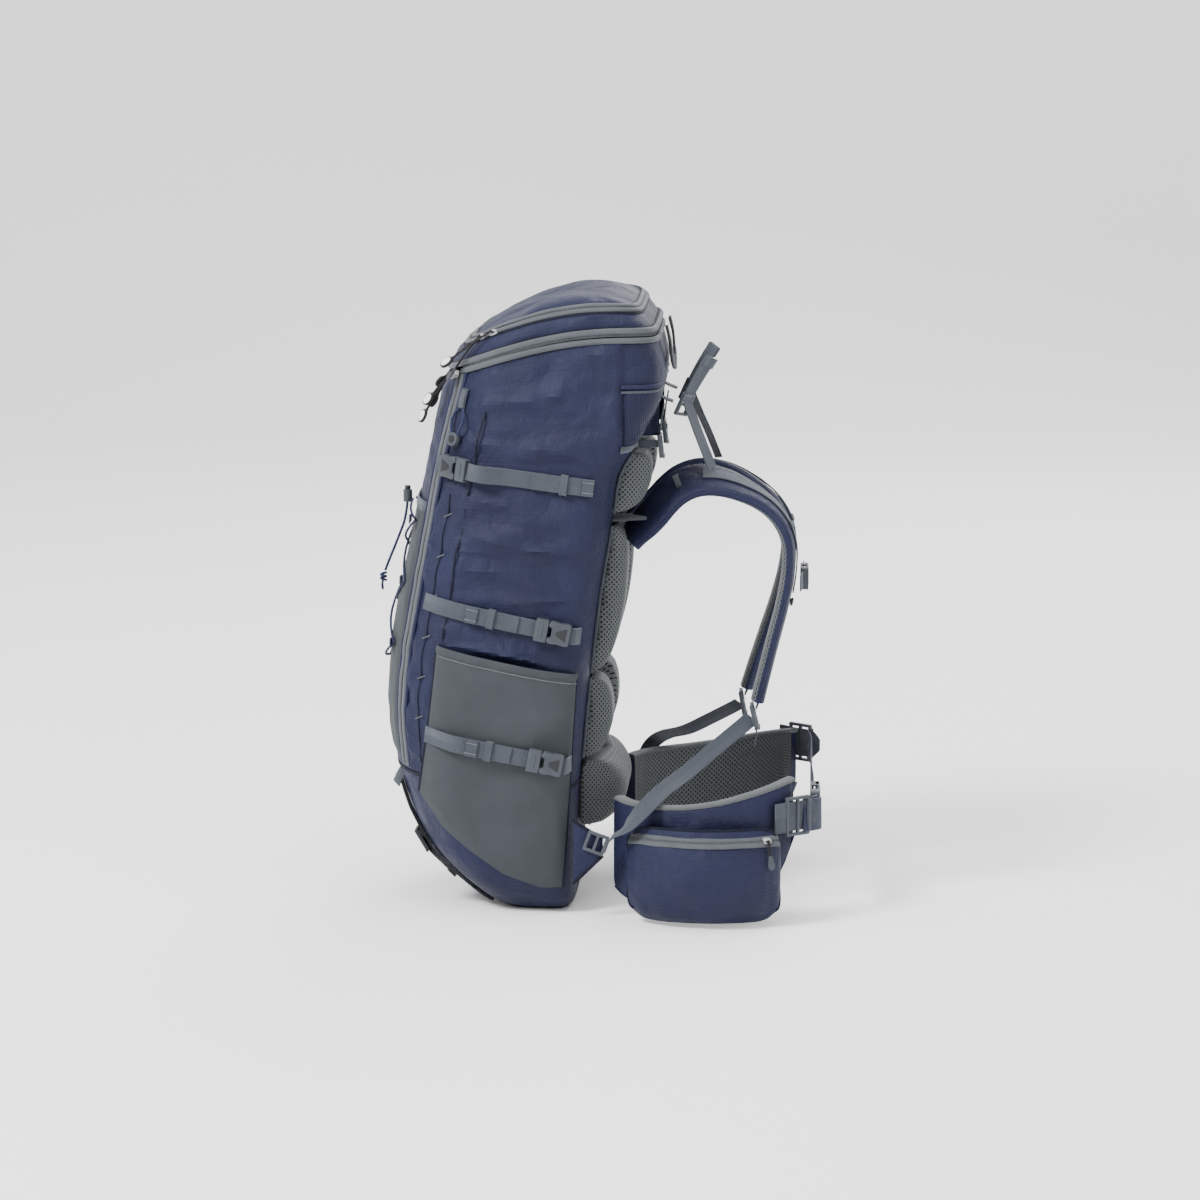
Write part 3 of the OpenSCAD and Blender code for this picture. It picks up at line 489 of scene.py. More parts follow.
# Stations round the bag: front height, back height, crown, front x, back x, half width.
STATIONS = np.array([
    (0, 0, 0, -114, -44, 100), (6, 3, 0, -140, -35, 122), (36, 14, 0, -176, -31, 140),
    (72, 44, 0, -209, -31, 150), (118, 95, 0, -234, -30, 156), (172, 160, 0, -250, -27, 160),
    (240, 232, 0, -257, -21, 160), (315, 308, 0, -250, -13, 160), (390, 384, 0, -236, -4, 158),
    (460, 456, 0, -223, 9, 155), (520, 520, 0, -212, 17, 152), (566, 560, 4, -203, 44, 148),
    (602, 604, 8, -195, 68, 143), (618, 644, 12, -190, 73, 139), (632, 684, 18, -184, 62, 134),
    (636, 688, 18, -184, 62, 134), (652, 700, 18, -178, 54, 131), (670, 716, 18, -160, 42, 122),
    (690, 722, 16, -134, 32, 102), (707, 728, 10, -100, 20, 74), (719, 731, 0, -62, 4, 38)], float)
SEAM_ROW, RIM_ROW, LID_ROW, FLAP_ROW, TOP_ROW = 5, 14, 15, 17, 20
FRONT_ROUND, BACK_ROUND = 2.7, 7
PANEL_ANGLE = 140
WALL = 2


def station(v):
    """Outline at each station v, with the corners between stations eased."""
    shares = 0
    for shift, weight in ((-0.3, 0.25), (0, 0.5), (0.3, 0.25)):
        w = np.clip(np.asarray(v, float) + shift, 0, TOP_ROW)
        low = np.minimum(w.astype(int), TOP_ROW - 1)
        part = (w - low)[..., None]
        shares = shares + weight * (STATIONS[low] * (1 - part) + STATIONS[low + 1] * part)
    return shares


def signed_power(value, power):
    return np.sign(value) * np.abs(value) ** power


def roundness(t):
    return np.where(np.cos(np.radians(t)) < 0, 2 / FRONT_ROUND, 2 / BACK_ROUND)


def skin(v, t, off=0.0, rise=0.0):
    """Points on the bag at stations v and angles t (0 at the back, 180 at the front)."""
    v, t, off, rise = np.broadcast_arrays(np.asarray(v, float), np.asarray(t, float), off, rise)
    s = station(v)
    c = signed_power(np.cos(np.radians(t)), roundness(t))
    half, part = (s[..., 4] - s[..., 3]) / 2, (c + 1) / 2
    return np.stack([
        s[..., 3] + half + (half + off) * c,
        (s[..., 5] + off) * signed_power(np.sin(np.radians(t)), roundness(t)),
        s[..., 0] * (1 - part) + s[..., 1] * part + s[..., 2] * 4 * part * (1 - part) + rise], axis=-1)


def unit(vectors):
    return vectors / np.maximum(np.linalg.norm(vectors, axis=-1, keepdims=True), 1e-9)


def skin_normal(v, t):
    """Outward direction of the bag's skin."""
    v, t = np.broadcast_arrays(np.asarray(v, float), np.asarray(t, float))
    round_it = skin(v, t + 0.8) - skin(v, t - 0.8)
    up = skin(np.minimum(v + 0.4, TOP_ROW), t) - skin(np.maximum(v - 0.4, 0), t)
    return unit(np.cross(round_it, up))


def height_over(v, x):
    s = station(v)
    part = (x - s[..., 3]) / (s[..., 4] - s[..., 3])
    return s[..., 0] * (1 - part) + s[..., 1] * part + s[..., 2] * 4 * part * (1 - part)


def side_y(x, z):
    """Half width of the bag at points (x, z) of its side."""
    x, z = np.broadcast_arrays(np.asarray(x, float), np.asarray(z, float))
    low, high = np.zeros(x.shape), np.full(x.shape, 14.0)
    for _ in range(14):
        middle = (low + high) / 2
        over = height_over(middle, x) > z
        low, high = np.where(over, low, middle), np.where(over, middle, high)
    s = station((low + high) / 2)
    half = (s[..., 4] - s[..., 3]) / 2
    u = np.clip((x - s[..., 3] - half) / half, -0.999, 0.999)
    power = np.where(u < 0, FRONT_ROUND, BACK_ROUND)
    return s[..., 5] * (1 - np.abs(u) ** power) ** (1 / power)


def bed(x, z, gap):
    """Points on the bag's right side, gap proud of it."""
    x, z = np.broadcast_arrays(np.asarray(x, float), np.asarray(z, float))
    return np.stack([x, -side_y(x, z) - gap, z], axis=-1)


def bed_normal(x, z):
    run = bed(np.asarray(x) + 2.0, z, 0) - bed(np.asarray(x) - 2.0, z, 0)
    rise = bed(x, np.asarray(z) + 2.0, 0) - bed(x, np.asarray(z) - 2.0, 0)
    return unit(np.cross(run, rise))


def even_angles(first, last, step, row=9):
    """Angles from first to last whose points stand about step apart at one station."""
    fine = np.linspace(first, last, 1200)
    run = np.concatenate([[0], np.cumsum(np.linalg.norm(np.diff(skin(row, fine), axis=0), axis=1))])
    return np.interp(np.linspace(0, run[-1], max(4, round(run[-1] / step))), run, fine)


def even_rows(first, last, step, t=180):
    fine = np.linspace(first, last, 1200)
    run = np.concatenate([[0], np.cumsum(np.linalg.norm(np.diff(skin(fine, t), axis=0), axis=1))])
    return np.interp(np.linspace(0, run[-1], max(3, round(run[-1] / step))), run, fine)


def smooth(points, count):
    """A smooth route through given points, count steps to each stretch."""
    p = np.asarray(points, float)
    padded = np.vstack([2 * p[0] - p[1], p, 2 * p[-1] - p[-2]])
    out = []
    for a, b, c, d in zip(padded, padded[1:], padded[2:], padded[3:]):
        for f in np.arange(count) / count:
            out.append(b + f * ((c - a) / 2 + f * ((2 * a - 5 * b + 4 * c - d) / 2
                                                   + f * (3 * b - 3 * c + d - a) / 2)))
    return np.array(out + [p[-1]])


def spread(path, step):
    """The same route with its points about step apart."""
    path = np.asarray(path, float)
    run = np.concatenate([[0], np.cumsum(np.linalg.norm(np.diff(path, axis=0), axis=1))])
    places = np.linspace(0, run[-1], max(2, round(run[-1] / step) + 1))
    return np.stack([np.interp(places, run, path[:, k]) for k in range(3)], axis=1)


def ripple(p, size, seed, stretch=(1, 1, 1)):
    """Soft random height, about -1 to 1, with folds of about size, drawn out along each axis."""
    chance = np.random.default_rng(seed)
    height = np.zeros(p.shape[:-1])
    for _ in range(9):
        turn = unit(chance.normal(size=3)) * 2 * math.pi / size * chance.uniform(0.6, 1.3)
        height += np.sin(p @ (turn / np.asarray(stretch, float)) + chance.uniform(0, 6.28))
    return height / 3.4


def rise(value, low, high):
    """0 below low, 1 above high, and smooth between."""
    part = np.clip((value - low) / (high - low), 0, 1)
    return part * part * (3 - 2 * part)


def hump(distance, width):
    return np.exp(-(distance / width) ** 2)


# Pieces --------------------------------------------------------------------------------------

PLAIN = np.eye(4)


def moved(x=0, y=0, z=0):
    m = np.eye(4)
    m[:3, 3] = x, y, z
    return m


def turned(axis, degrees):
    return np.array(Matrix.Rotation(math.radians(degrees), 4, axis))


def placed(points, place):
    return np.asarray(points, float) @ place[:3, :3].T + place[:3, 3]


def oval(width, height, count=10, power=2.6, lift=0.0):
    """A closed section of rounded strip, listed as (across, out)."""
    turn = np.linspace(0, 2 * math.pi, count, endpoint=False) + math.pi / count
    return np.stack([width / 2 * signed_power(np.cos(turn), 2 / power),
                     height / 2 * signed_power(np.sin(turn), 2 / power) + lift], axis=1)


def strip(width, thick):
    """A webbing section with soft edges."""
    edge = thick * 0.35
    w, h = width / 2, thick / 2
    across = np.linspace(-w + edge, w - edge, 5)
    return np.array([(-w, 0), *[(a, -h) for a in across], (w, 0), *[(a, h) for a in across[::-1]]])


class Piece:
    """Geometry gathered in millimetres and made into one object."""

    def __init__(self):
        self.points, self.faces, self.uvs, self.marks, self.finishes = [], [], [], [], []
        self.count = 0

    def add(self, points, faces, uvs, material):
        """Adds faces that index points, with one (u, v) in millimetres for each face corner."""
        if material not in self.finishes:
            self.finishes.append(material)
        mark = self.finishes.index(material)
        self.points.append(np.asarray(points, float).reshape(-1, 3))
        self.faces += [tuple(int(i) + self.count for i in face) for face in faces]
        self.uvs += list(uvs)
        self.marks += [mark] * len(faces)
        self.count += len(self.points[-1])

    def grid(self, points, material, wrap=False, close=False, back=False):
        """A grid of points[row][column]; wrap closes each row, and close joins last row to first."""
        rows, cols = points.shape[:2]
        ring = np.concatenate([points, points[:, :1]], axis=1) if wrap else points
        full = np.concatenate([ring, ring[:1]], axis=0) if close else ring
        middle = full[full.shape[0] // 2]
        u = np.concatenate([[0], np.cumsum(np.linalg.norm(np.diff(middle, axis=0), axis=1))])
        v = np.concatenate([[0], np.cumsum(np.linalg.norm(
            np.diff(full, axis=0), axis=2).mean(axis=1))])
        u -= u[-1] / 2
        faces, uvs = [], []
        for i in range(full.shape[0] - 1):
            for j in range(full.shape[1] - 1):
                a, b = i * cols + j, i * cols + (j + 1) % cols
                c, d = (i + 1) % rows * cols + (j + 1) % cols, (i + 1) % rows * cols + j
                corners = [(u[j], v[i]), (u[j + 1], v[i]), (u[j + 1], v[i + 1]), (u[j], v[i + 1])]
                face = (a, b, c, d)
                if back:
                    face, corners = face[::-1], corners[::-1]
                faces.append(face)
                uvs += corners
        self.add(points, faces, uvs, material)

    def shell(self, outer, inner, material, lining, wrap=False):
        """A closed skin between an outer and an inner grid."""
        self.grid(outer, material, wrap)
        self.grid(inner, lining, wrap, back=True)
        edges = [(outer[0], inner[0], True), (outer[-1], inner[-1], False)]
        if not wrap:
            edges += [(outer[:, 0], inner[:, 0], False), (outer[:, -1], inner[:, -1], True)]
        for out, inn, back in edges:
            self.grid(np.stack([out, inn]), material, wrap, back=back)

    def band(self, path, normal, section, material, wrap=False, place=PLAIN, widths=1.0, under=None):
        """Sweeps a section of (across, out) points along a route, out lying along normal.

        under is a second material for the section's lower half.
        """
        path = placed(path, place)
        normal = np.broadcast_to(np.asarray(normal, float), path.shape) @ place[:3, :3].T
        if wrap:
            ahead, behind = np.roll(path, -1, axis=0), np.roll(path, 1, axis=0)
        else:
            ahead = np.vstack([path[1:], path[-1:]])
            behind = np.vstack([path[:1], path[:-1]])
        along = unit(ahead - behind)
        across = unit(np.cross(along, normal))
        out = np.cross(across, along)
        section = np.asarray(section, float)
        grow = np.broadcast_to(widths, (len(path),))[:, None, None]
        rings = (path[:, None] + across[:, None] * section[None, :, :1] * grow
                 + out[:, None] * section[None, :, 1:])
        count = len(section)
        v = np.concatenate([[0], np.cumsum(np.linalg.norm(ahead - path, axis=1))])
        steps = len(path) if wrap else len(path) - 1
        girth = np.cumsum(np.linalg.norm(np.diff(section, axis=0, append=section[:1]), axis=1))
        flat = section[:, 0]
        lower = [section[j, 1] + section[(j + 1) % count, 1] < 0 for j in range(count)]
        groups = {material: ([], []), under or material: ([], [])}
        narrow = np.ptp(flat) < 3 * np.ptp(section[:, 1])
        for i in range(steps):
            for j in range(count):
                k, n = (j + 1) % count, (i + 1) % len(path)
                faces, uvs = groups[(under or material) if lower[j] else material]
                faces.append((i * count + j, n * count + j, n * count + k, i * count + k))
                ends = (girth[j - 1] if j else 0, girth[j]) if narrow else (flat[j], flat[k])
                uvs += [(ends[0], v[i]), (ends[0], v[i + 1]), (ends[1], v[i + 1]), (ends[1], v[i])]
        if not wrap:
            faces, uvs = groups[material]
            faces.append(tuple(range(count)))
            faces.append(tuple((len(path) - 1) * count + j for j in range(count - 1, -1, -1)))
            uvs += [tuple(p) for p in section] + [tuple(p) for p in section[::-1]]
        points = rings.reshape(-1, 3)
        if np.linalg.det(place[:3, :3]) < 0:
            for faces, uvs in groups.values():
                self._reverse(faces, uvs)
        first = True
        for finish_name, (faces, uvs) in groups.items():
            if not faces:
                continue
            if first:
                self.add(points, faces, uvs, finish_name)
                first = False
            else:
                base = self.count - len(points)
                if finish_name not in self.finishes:
                    self.finishes.append(finish_name)
                self.faces += [tuple(i + base for i in face) for face in faces]
                self.uvs += uvs
                self.marks += [self.finishes.index(finish_name)] * len(faces)

    @staticmethod
    def _reverse(faces, uvs):
        start = 0
        for index, face in enumerate(faces):
            faces[index] = face[::-1]
            uvs[start:start + len(face)] = uvs[start:start + len(face)][::-1]
            start += len(face)

    def tube(self, path, diameter, material, sides=10, wrap=False, place=PLAIN):
        turn = np.linspace(0, 2 * math.pi, sides, endpoint=False)
        section = np.stack([np.cos(turn), np.sin(turn)], axis=1) * diameter / 2
        self.band(path, steady_normal(np.asarray(path, float)), section, material, wrap, place)

    def lump(self, mesh_maker, material, place=PLAIN, bevel=0.0, segments=2):
        """Adds a solid that mesh_maker draws into an empty bmesh, with its edges rounded."""
        solid = bmesh.new()
        mesh_maker(solid)
        if bevel:
            sharp = [e for e in solid.edges if len(e.link_faces) == 2 and e.calc_face_angle(0) > 0.6]
            bmesh.ops.bevel(solid, geom=sharp, offset=bevel, segments=segments, affect="EDGES",
                            profile=0.6, clamp_overlap=True)
        solid.verts.index_update()
        points = placed([v.co for v in solid.verts], place)
        faces = [[v.index for v in f.verts] for f in solid.faces]
        if np.linalg.det(place[:3, :3]) < 0:
            faces = [f[::-1] for f in faces]
        local = np.array([v.co for v in solid.verts])
        uvs = [(local[i][0], local[i][1]) for f in faces for i in f]
        self.add(points, faces, uvs, material)
        solid.free()

    def block(self, low, high, material, place=PLAIN, bevel=0.8, segments=2):
        """A rounded box between two corners."""
        low, high = np.minimum(low, high), np.maximum(low, high)

        def draw(solid):
            made = bmesh.ops.create_cube(solid, size=1)["verts"]
            for vert in made:
                vert.co = Vector((low + high) / 2 + np.array(vert.co) * (high - low))
        self.lump(draw, material, place, min(bevel, 0.45 * float((high - low).min())), segments)

    def plate(self, outline, thick, material, place=PLAIN, bevel=0.6, segments=2, base=0.0):
        """A flat outline raised from base by thick, with rounded edges."""
        def draw(solid):
            face = solid.faces.new([solid.verts.new((x, y, base)) for x, y in outline])
            if face.calc_area() and face.normal.z > 0:
                face.normal_flip()
            raised = bmesh.ops.extrude_face_region(solid, geom=[face])["geom"]
            for item in raised:
                if isinstance(item, bmesh.types.BMVert):
                    item.co.z += thick
            bmesh.ops.recalc_face_normals(solid, faces=solid.faces)
        self.lump(draw, material, place, bevel, segments)

    def rod(self, radius, low, high, material, place=PLAIN, bevel=0.6, sides=28, radius_high=None):
        """A round bar along z from low to high."""
        def draw(solid):
            made = bmesh.ops.create_cone(
                solid, cap_ends=True, segments=sides, radius1=radius,
                radius2=radius if radius_high is None else radius_high, depth=high - low)["verts"]
            for vert in made:
                vert.co.z += (low + high) / 2
        self.lump(draw, material, place, bevel)

    def stitches(self, path, normal, material, proud=0.25, length=None):
        """A row of thread stitches along a route on the cloth."""
        pitch = length or sizes().stitch / MM
        path = spread(path, pitch / 2)
        normal = np.broadcast_to(np.asarray(normal, float), path.shape) if np.ndim(normal) == 1 \
            else spread_like(normal, len(path))
        lifted = path + normal * proud
        for i in range(0, len(path) - 1, 2):
            a, b = lifted[i], lifted[i + 1]
            ends = np.array([a - normal[i] * 0.35, a * 0.7 + b * 0.3, a * 0.3 + b * 0.7,
                             b - normal[i] * 0.35])
            turn = np.linspace(0, 2 * math.pi, 4, endpoint=False)
            section = np.stack([np.cos(turn), np.sin(turn)], axis=1) * 0.3
            self.band(ends, normal[i], section, material)

    def make(self, name, body, slot, replaces=(), mirror=False, blend=None, sharp=38):
        """Makes the object, on a body or, with blend, baked in place without one, for the right or the left
        side.
        """
        points = np.concatenate(self.points) * MM
        faces, uvs = list(self.faces), list(self.uvs)
        if mirror:
            points = points * (1, -1, 1)
            self._reverse(faces, uvs)
        mesh = bpy.data.meshes.new(name)
        mesh.from_pydata(points.tolist(), [], faces)
        layer = mesh.uv_layers.new(name="cloth")
        layer.data.foreach_set("uv", (np.array(uvs, dtype=np.float32) * MM).ravel())
        for material in self.finishes:
            mesh.materials.append(material())
        mesh.polygons.foreach_set("material_index", self.marks)
        mesh.polygons.foreach_set("use_smooth", [True] * len(faces))
        mesh.validate()
        mesh.set_sharp_from_angle(angle=math.radians(sharp))
        made = bpy.data.objects.new(name, mesh)
        bpy.context.scene.collection.objects.link(made)
        settle(made, body, replaces, blend)
        return made


def settle(made, body, replaces=(), blend=None):
    if blend:
        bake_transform(made)
    elif body:
        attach(made, body)
    if replaces:
        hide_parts(*replaces)


def spread_like(vectors, count):
    places = np.linspace(0, len(vectors) - 1, count)
    index = np.arange(len(vectors))
    return unit(np.stack([np.interp(places, index, vectors[:, k]) for k in range(3)], axis=1))


def steady_normal(path):
    """Directions across a route that turn as little as they can."""
    along = unit(np.gradient(path, axis=0))
    first = np.array([0.0, 1.0, 0.0]) if abs(along[0][1]) < 0.8 else np.array([0.0, 0.0, 1.0])
    out = []
    for step in along:
        first = first - step * (first @ step)
        first = first / np.linalg.norm(first)
        out.append(first)
    return np.array(out)


def both_sides(build):
    """Draws a piece for the right side and its mirror image for the left."""
    for side in ("right", "left"):
        build(side, side == "left")


class Piecework:
    """Shared by the operators: each one makes its pieces in build."""
    bl_options = {"REGISTER", "UNDO"}

    def execute(self, context):
        self.build()
        return {"FINISHED"}


# Bag fabric ----------------------------------------------------------------------------------

REAR_TOP_SEAM = 27
# Each strap: its front and back end, height, slope, buckle place, turn and which way it opens.
SIDE_STRAPS = {"top": (-192, -8, 530, 7.5, -164, 42, 1), "middle": (-207, -24, 343, 11.5, -60, 0, -1),
               "bottom": (-206, -38, 191, 10.8, -68, 0, -1)}


def zip_x(v):
    return skin(v, PANEL_ANGLE)[..., 0]


def strap_pinch(p):
    """1 where a compression strap presses on the side, 0 elsewhere."""
    pinch = np.zeros(p.shape[:-1])
    for front, back, z, slope, at, *_ in SIDE_STRAPS.values():
        line = z - (p[..., 0] - at) * math.tan(math.radians(slope))
        inside = rise(p[..., 0], front - 24, front - 6) * (1 - rise(p[..., 0], back + 6, back + 24))
        pinch = np.maximum(pinch, inside * (1 - rise(abs(p[..., 2] - line), 13, 34)))
    return pinch


def side_relief(p, t, v):
    """How far the fabric stands proud of the bag's skin, in millimetres."""
    depth = sizes().fold_depth / MM
    x, z = p[..., 0], p[..., 2]
    folds = ripple(p, 96, 11, (1.9, 1.0, 0.7)) * 0.8 + ripple(p, 44, 23, (2.2, 1.0, 0.7)) * 0.5
    folds = folds + 0.22 * ripple(p, 27, 83, (2.6, 1.0, 0.8))
    sharp = np.clip(1 - abs(ripple(p, 120, 47, (2.4, 1.0, 0.8))), 0, 1) ** 7
    crisp = np.clip(1 - abs(ripple(p, 74, 29, (2.6, 1.0, 0.7))), 0, 1) ** 8
    bulge = np.maximum(0.8 + 1.1 * folds + 0.9 * sharp + 0.6 * crisp, 0.05)
    pinch = strap_pinch(p)
    near_zip = 1 - rise(PANEL_ANGLE - t, 2.5, 9)
    high = rise(z, 175, 225) * (1 - rise(z, 610, 634))
    from_zip = x - zip_x(v)
    seam = hump(from_zip - 42, 5.0) * 1.4 * high
    puffs = (0.5 + 0.5 * np.cos((z - 187) / 48.5 * 2 * math.pi + math.pi)) ** 0.6
    row = rise(from_zip, 8, 16) * (1 - rise(from_zip, 31, 41)) * high
    crease = hump(from_zip - 21, 3.4) * 2.2 * high * (0.35 + 0.65 * (1 - puffs))
    pocket_front = np.interp(z, (146, 319), (-213, -190))
    pocket_mouth = np.interp(x, (-190, -22), (319, 285))
    under_pocket = (rise(x, pocket_front - 8, pocket_front)
                    * (1 - rise(z, pocket_mouth + 1, pocket_mouth + 12)))
    back = 1 - rise(t, 34, 78)
    yoke = rise(x, REAR_TOP_SEAM - 8, REAR_TOP_SEAM) * rise(z, 540, 552)
    lift = depth * bulge * (1 - near_zip) * (1 - yoke)
    lift = lift * (1 - row) + row * (0.8 + 2.6 * puffs)
    lift = (lift - crease - seam) * (1 - pinch) + 0.5 * pinch
    below_rim = (RIM_ROW - v) / (RIM_ROW - under_rim(t, 1.0))
    top_seam = hump(x - REAR_TOP_SEAM, 2.0) * 1.2 * rise(z, 548, 560)
    lift = lift * rise(below_rim, 9, 15) - top_seam
    lift = lift * (1 - under_pocket) + np.minimum(lift, 1.4) * under_pocket
    lift = lift * (1 - back) + np.minimum(lift, 0.35 + 0.3 * folds) * back
    top = rise(z, 690, 716)
    return lift * (1 - 0.5 * top)


def body_grid(rows, angles, relief=None, off=0.4):
    v, t = np.meshgrid(rows, angles, indexing="ij")
    p = skin(v, t)
    lift = off + (relief(p, np.abs(t), v) if relief else 0)
    return p + skin_normal(v, t) * np.asarray(lift)[..., None]


def under_rim(t, distance):
    """The station that lies distance below the bag's rim at angle t."""
    t = np.asarray(t, float)
    step = np.linalg.norm(skin(RIM_ROW - 0.3, t) - skin(RIM_ROW - 0.9, t), axis=-1) / 0.6
    return RIM_ROW - distance / step


def seam_line(x_at, low, high):
    """A route over the right side's fabric, and its outward directions, where x is x_at(station)."""
    rows, angles = np.linspace(SEAM_ROW, RIM_ROW, 200), np.linspace(20, PANEL_ANGLE, 300)
    t = np.array([np.interp(-x_at(v), -skin(v, angles)[:, 0], angles) for v in rows])
    p, normal = skin(rows, t), skin_normal(rows, t)
    run = p + normal * (0.9 + np.maximum(side_relief(p, t, rows), 0))[:, None]
    keep = (p[:, 2] > low) & (p[:, 2] < high)
    return run[keep], normal[keep]


class BACKPACK_OT_bag_fabric(Piecework, bpy.types.Operator):
    """Fabric of the side and back panel, the base and the front, with its folds and seams"""
    bl_idname = "backpack.bag_fabric"
    bl_label = "Bag Fabric"

    def build(self):
        angles = even_angles(0, PANEL_ANGLE, 3.4)
        angles = np.concatenate([-angles[::-1], angles[1:]])
        rows = even_rows(SEAM_ROW, RIM_ROW, 3.6)
        piece = Piece()
        outer = body_grid(rows, angles, side_relief)
        inner = body_grid(rows, angles, None, -WALL)
        piece.shell(outer, inner, navy_nylon, nylon_lining)
        for x_at, low, high, wide in ((lambda v: zip_x(v) + 42, 178, 616, 2.4),
                                      (lambda v: zip_x(v) + 21, 178, 500, 1.6),
                                      (lambda v: REAR_TOP_SEAM, 550, 628, 2.4)):
            run, normal = seam_line(x_at, low, high)
            for side in (1, -1):
                piece.band(run * (1, side, 1), normal * (1, side, 1), oval(wide, 1.4, 8), seam_painted_shade)
        piece.make("side_fabric", "bag", "navy_fabric", ["side_back_panel"])

        yoke = Piece()
        for side in (-1, 1):
            x = np.linspace(REAR_TOP_SEAM, 66, 12)
            z = np.linspace(562, 626, 18)
            grid_x, grid_z = np.meshgrid(x, z)
            lift = 3.4 + 1.6 * np.sin((grid_z - 562) / 64 * math.pi) + 0.6 * ripple(
                np.stack([grid_x, grid_x * 0, grid_z], -1), 26, 7)
            edge = np.minimum(rise(grid_x, REAR_TOP_SEAM - 1, REAR_TOP_SEAM + 5),
                              np.minimum(rise(grid_z, 561, 566), 1 - rise(grid_z, 621, 626)))
            p = bed(grid_x, grid_z, lift * (0.2 + 0.8 * edge))
            if side > 0:
                p = p * (1, -1, 1)
            yoke.grid(p, ribbed_nylon, back=side > 0)
            for height, across, out, cloth in ((627, 5, 3.4, navy_nylon), (621, 2.6, 3.2, grey_webbing),
                                               (553, 9, 2.2, grey_webbing)):
                run = bed(np.linspace(REAR_TOP_SEAM - 3, 70, 26), height, 3.2)
                normal = bed_normal(run[:, 0], run[:, 2])
                if side > 0:
                    run, normal = run * (1, -1, 1), normal * (1, -1, 1)
                yoke.band(run, normal, oval(across, out), cloth)
        yoke.make("rear_yoke", "bag", "navy_fabric")

        piece = Piece()
        rows = np.concatenate([even_rows(0, 1, 4)[:-1], even_rows(1, SEAM_ROW, 4.2)])
        around = even_angles(0, 180, 4.4)
        around = np.concatenate([-around[::-1], around[1:-1]])

        def base_relief(p, t, v):
            folds = ripple(p, 60, 5, (1.4, 1, 0.8)) * 0.8 + ripple(p, 28, 3) * 0.35
            return rise(v, 1.2, 2.6) * rise(t, 40, 80) * (0.9 + folds * 1.3) * (1 - rise(v, 4.8, 5))
        piece.shell(body_grid(rows, around, base_relief), body_grid(rows, around, None, -WALL),
                    navy_nylon, nylon_lining, wrap=True)
        floor = body_grid(np.array([0.0]), around, None, 0.2)[0]
        middle = floor.mean(axis=0)
        rings = np.array([middle + (floor - middle) * share + np.array([0, 0, 1.4]) * (1 - share)
                          for share in (1, 0.98, 0.8, 0.55, 0.3, 0.02)])
        piece.grid(rings, navy_nylon, wrap=True)
        for at, width in ((4.9, 5), (0.55, 3)):
            run = body_grid(np.array([at]), around, None, 1.0)[0]
            piece.band(run, skin_normal(at, around), oval(width, 2.2), seam_painted_shade, wrap=True)
        piece.make("base_fabric", "bag", "navy_fabric", ["base_panel"])

        piece = Piece()
        angles = even_angles(PANEL_ANGLE, 360 - PANEL_ANGLE, 3.6)
        rows = even_rows(SEAM_ROW, RIM_ROW, 3.8)

        def front_relief(p, t, v):
            folds = ripple(p, 70, 31, (0.8, 1.2, 1.5)) + 0.4 * ripple(p, 28, 9)
            under = rise(v, SEAM_ROW, SEAM_ROW + 0.4) * (1 - rise(v, 8.8, 9.4))
            edge = 1 - rise(np.abs(t - 180), 30, 40)
            return (0.6 + 1.3 * folds) * edge * (1 - under) - 0.2 * under
        piece.shell(body_grid(rows, angles, front_relief), body_grid(rows, angles, None, -WALL),
                    navy_nylon, nylon_lining)
        piece.make("front_fabric", "front_panel", "navy_fabric", ["front_panel"])


class BACKPACK_OT_lid(Piecework, bpy.types.Operator):
    """Lid wall, pocket floor and top flap"""
    bl_idname = "backpack.lid"
    bl_label = "Lid"

    def build(self):
        around = even_angles(0, 360, 3.8, LID_ROW)[:-1]

        def relief(p, t, v):
            folds = ripple(p, 80, 13, (1.5, 1, 0.8)) + 0.5 * ripple(p, 34, 17)
            back = 1 - rise(np.minimum(t, 360 - t), 40, 80)
            edge = rise(v, LID_ROW + 0.4, LID_ROW + 0.8) * (1 - rise(v, FLAP_ROW - 0.7, FLAP_ROW - 0.45))
            return edge * (np.maximum(1.2 + 2.1 * folds, 0) * (1 - back) + (0.3 + 0.3 * folds) * back)
        piece = Piece()
        rows = even_rows(LID_ROW, FLAP_ROW, 3.2)
        piece.shell(body_grid(rows, around, relief), body_grid(rows, around, None, -WALL),
                    navy_nylon, nylon_lining, wrap=True)
        piece.make("lid_fabric", "lid", "navy_fabric", ["lid_wall"])

        piece = Piece()
        edge = skin(LID_ROW + 0.25, around, -WALL - 0.3)
        middle = edge.mean(axis=0)
        sheet = np.array([middle + (edge - middle) * s for s in (1, 0.9, 0.7, 0.4, 0.02)])
        piece.shell(sheet, sheet - (0, 0, 1.2), nylon_lining, nylon_lining, wrap=True)
        piece.make("lid_pocket_sheet", "lid", "lining_fabric", ["lid_pocket_floor"])

        def flap_relief(p, t, v):
            folds = ripple(p, 95, 41, (1.1, 1, 1)) + 0.4 * ripple(p, 36, 43)
            return rise(v, FLAP_ROW + 0.3, FLAP_ROW + 0.7) * (1.0 + 1.9 * folds)
        piece = Piece()
        rows = even_rows(FLAP_ROW, TOP_ROW, 3.4)
        outer = body_grid(rows, around, flap_relief)
        inner = body_grid(rows, around, None, -WALL)
        crown = [outer, inner]
        for k, grid in enumerate(crown):
            middle = grid[-1].mean(axis=0) + (0, 0, 1.2)
            rings = [middle + (grid[-1] - middle) * s for s in (0.8, 0.55, 0.3, 0.02)]
            crown[k] = np.concatenate([grid, np.array(rings)])
        piece.shell(crown[0], crown[1], navy_nylon, nylon_lining, wrap=True)
        piece.make("lid_flap_fabric", "lid_flap", "navy_fabric", ["lid_top_flap"])


# Zips ----------------------------------------------------------------------------------------

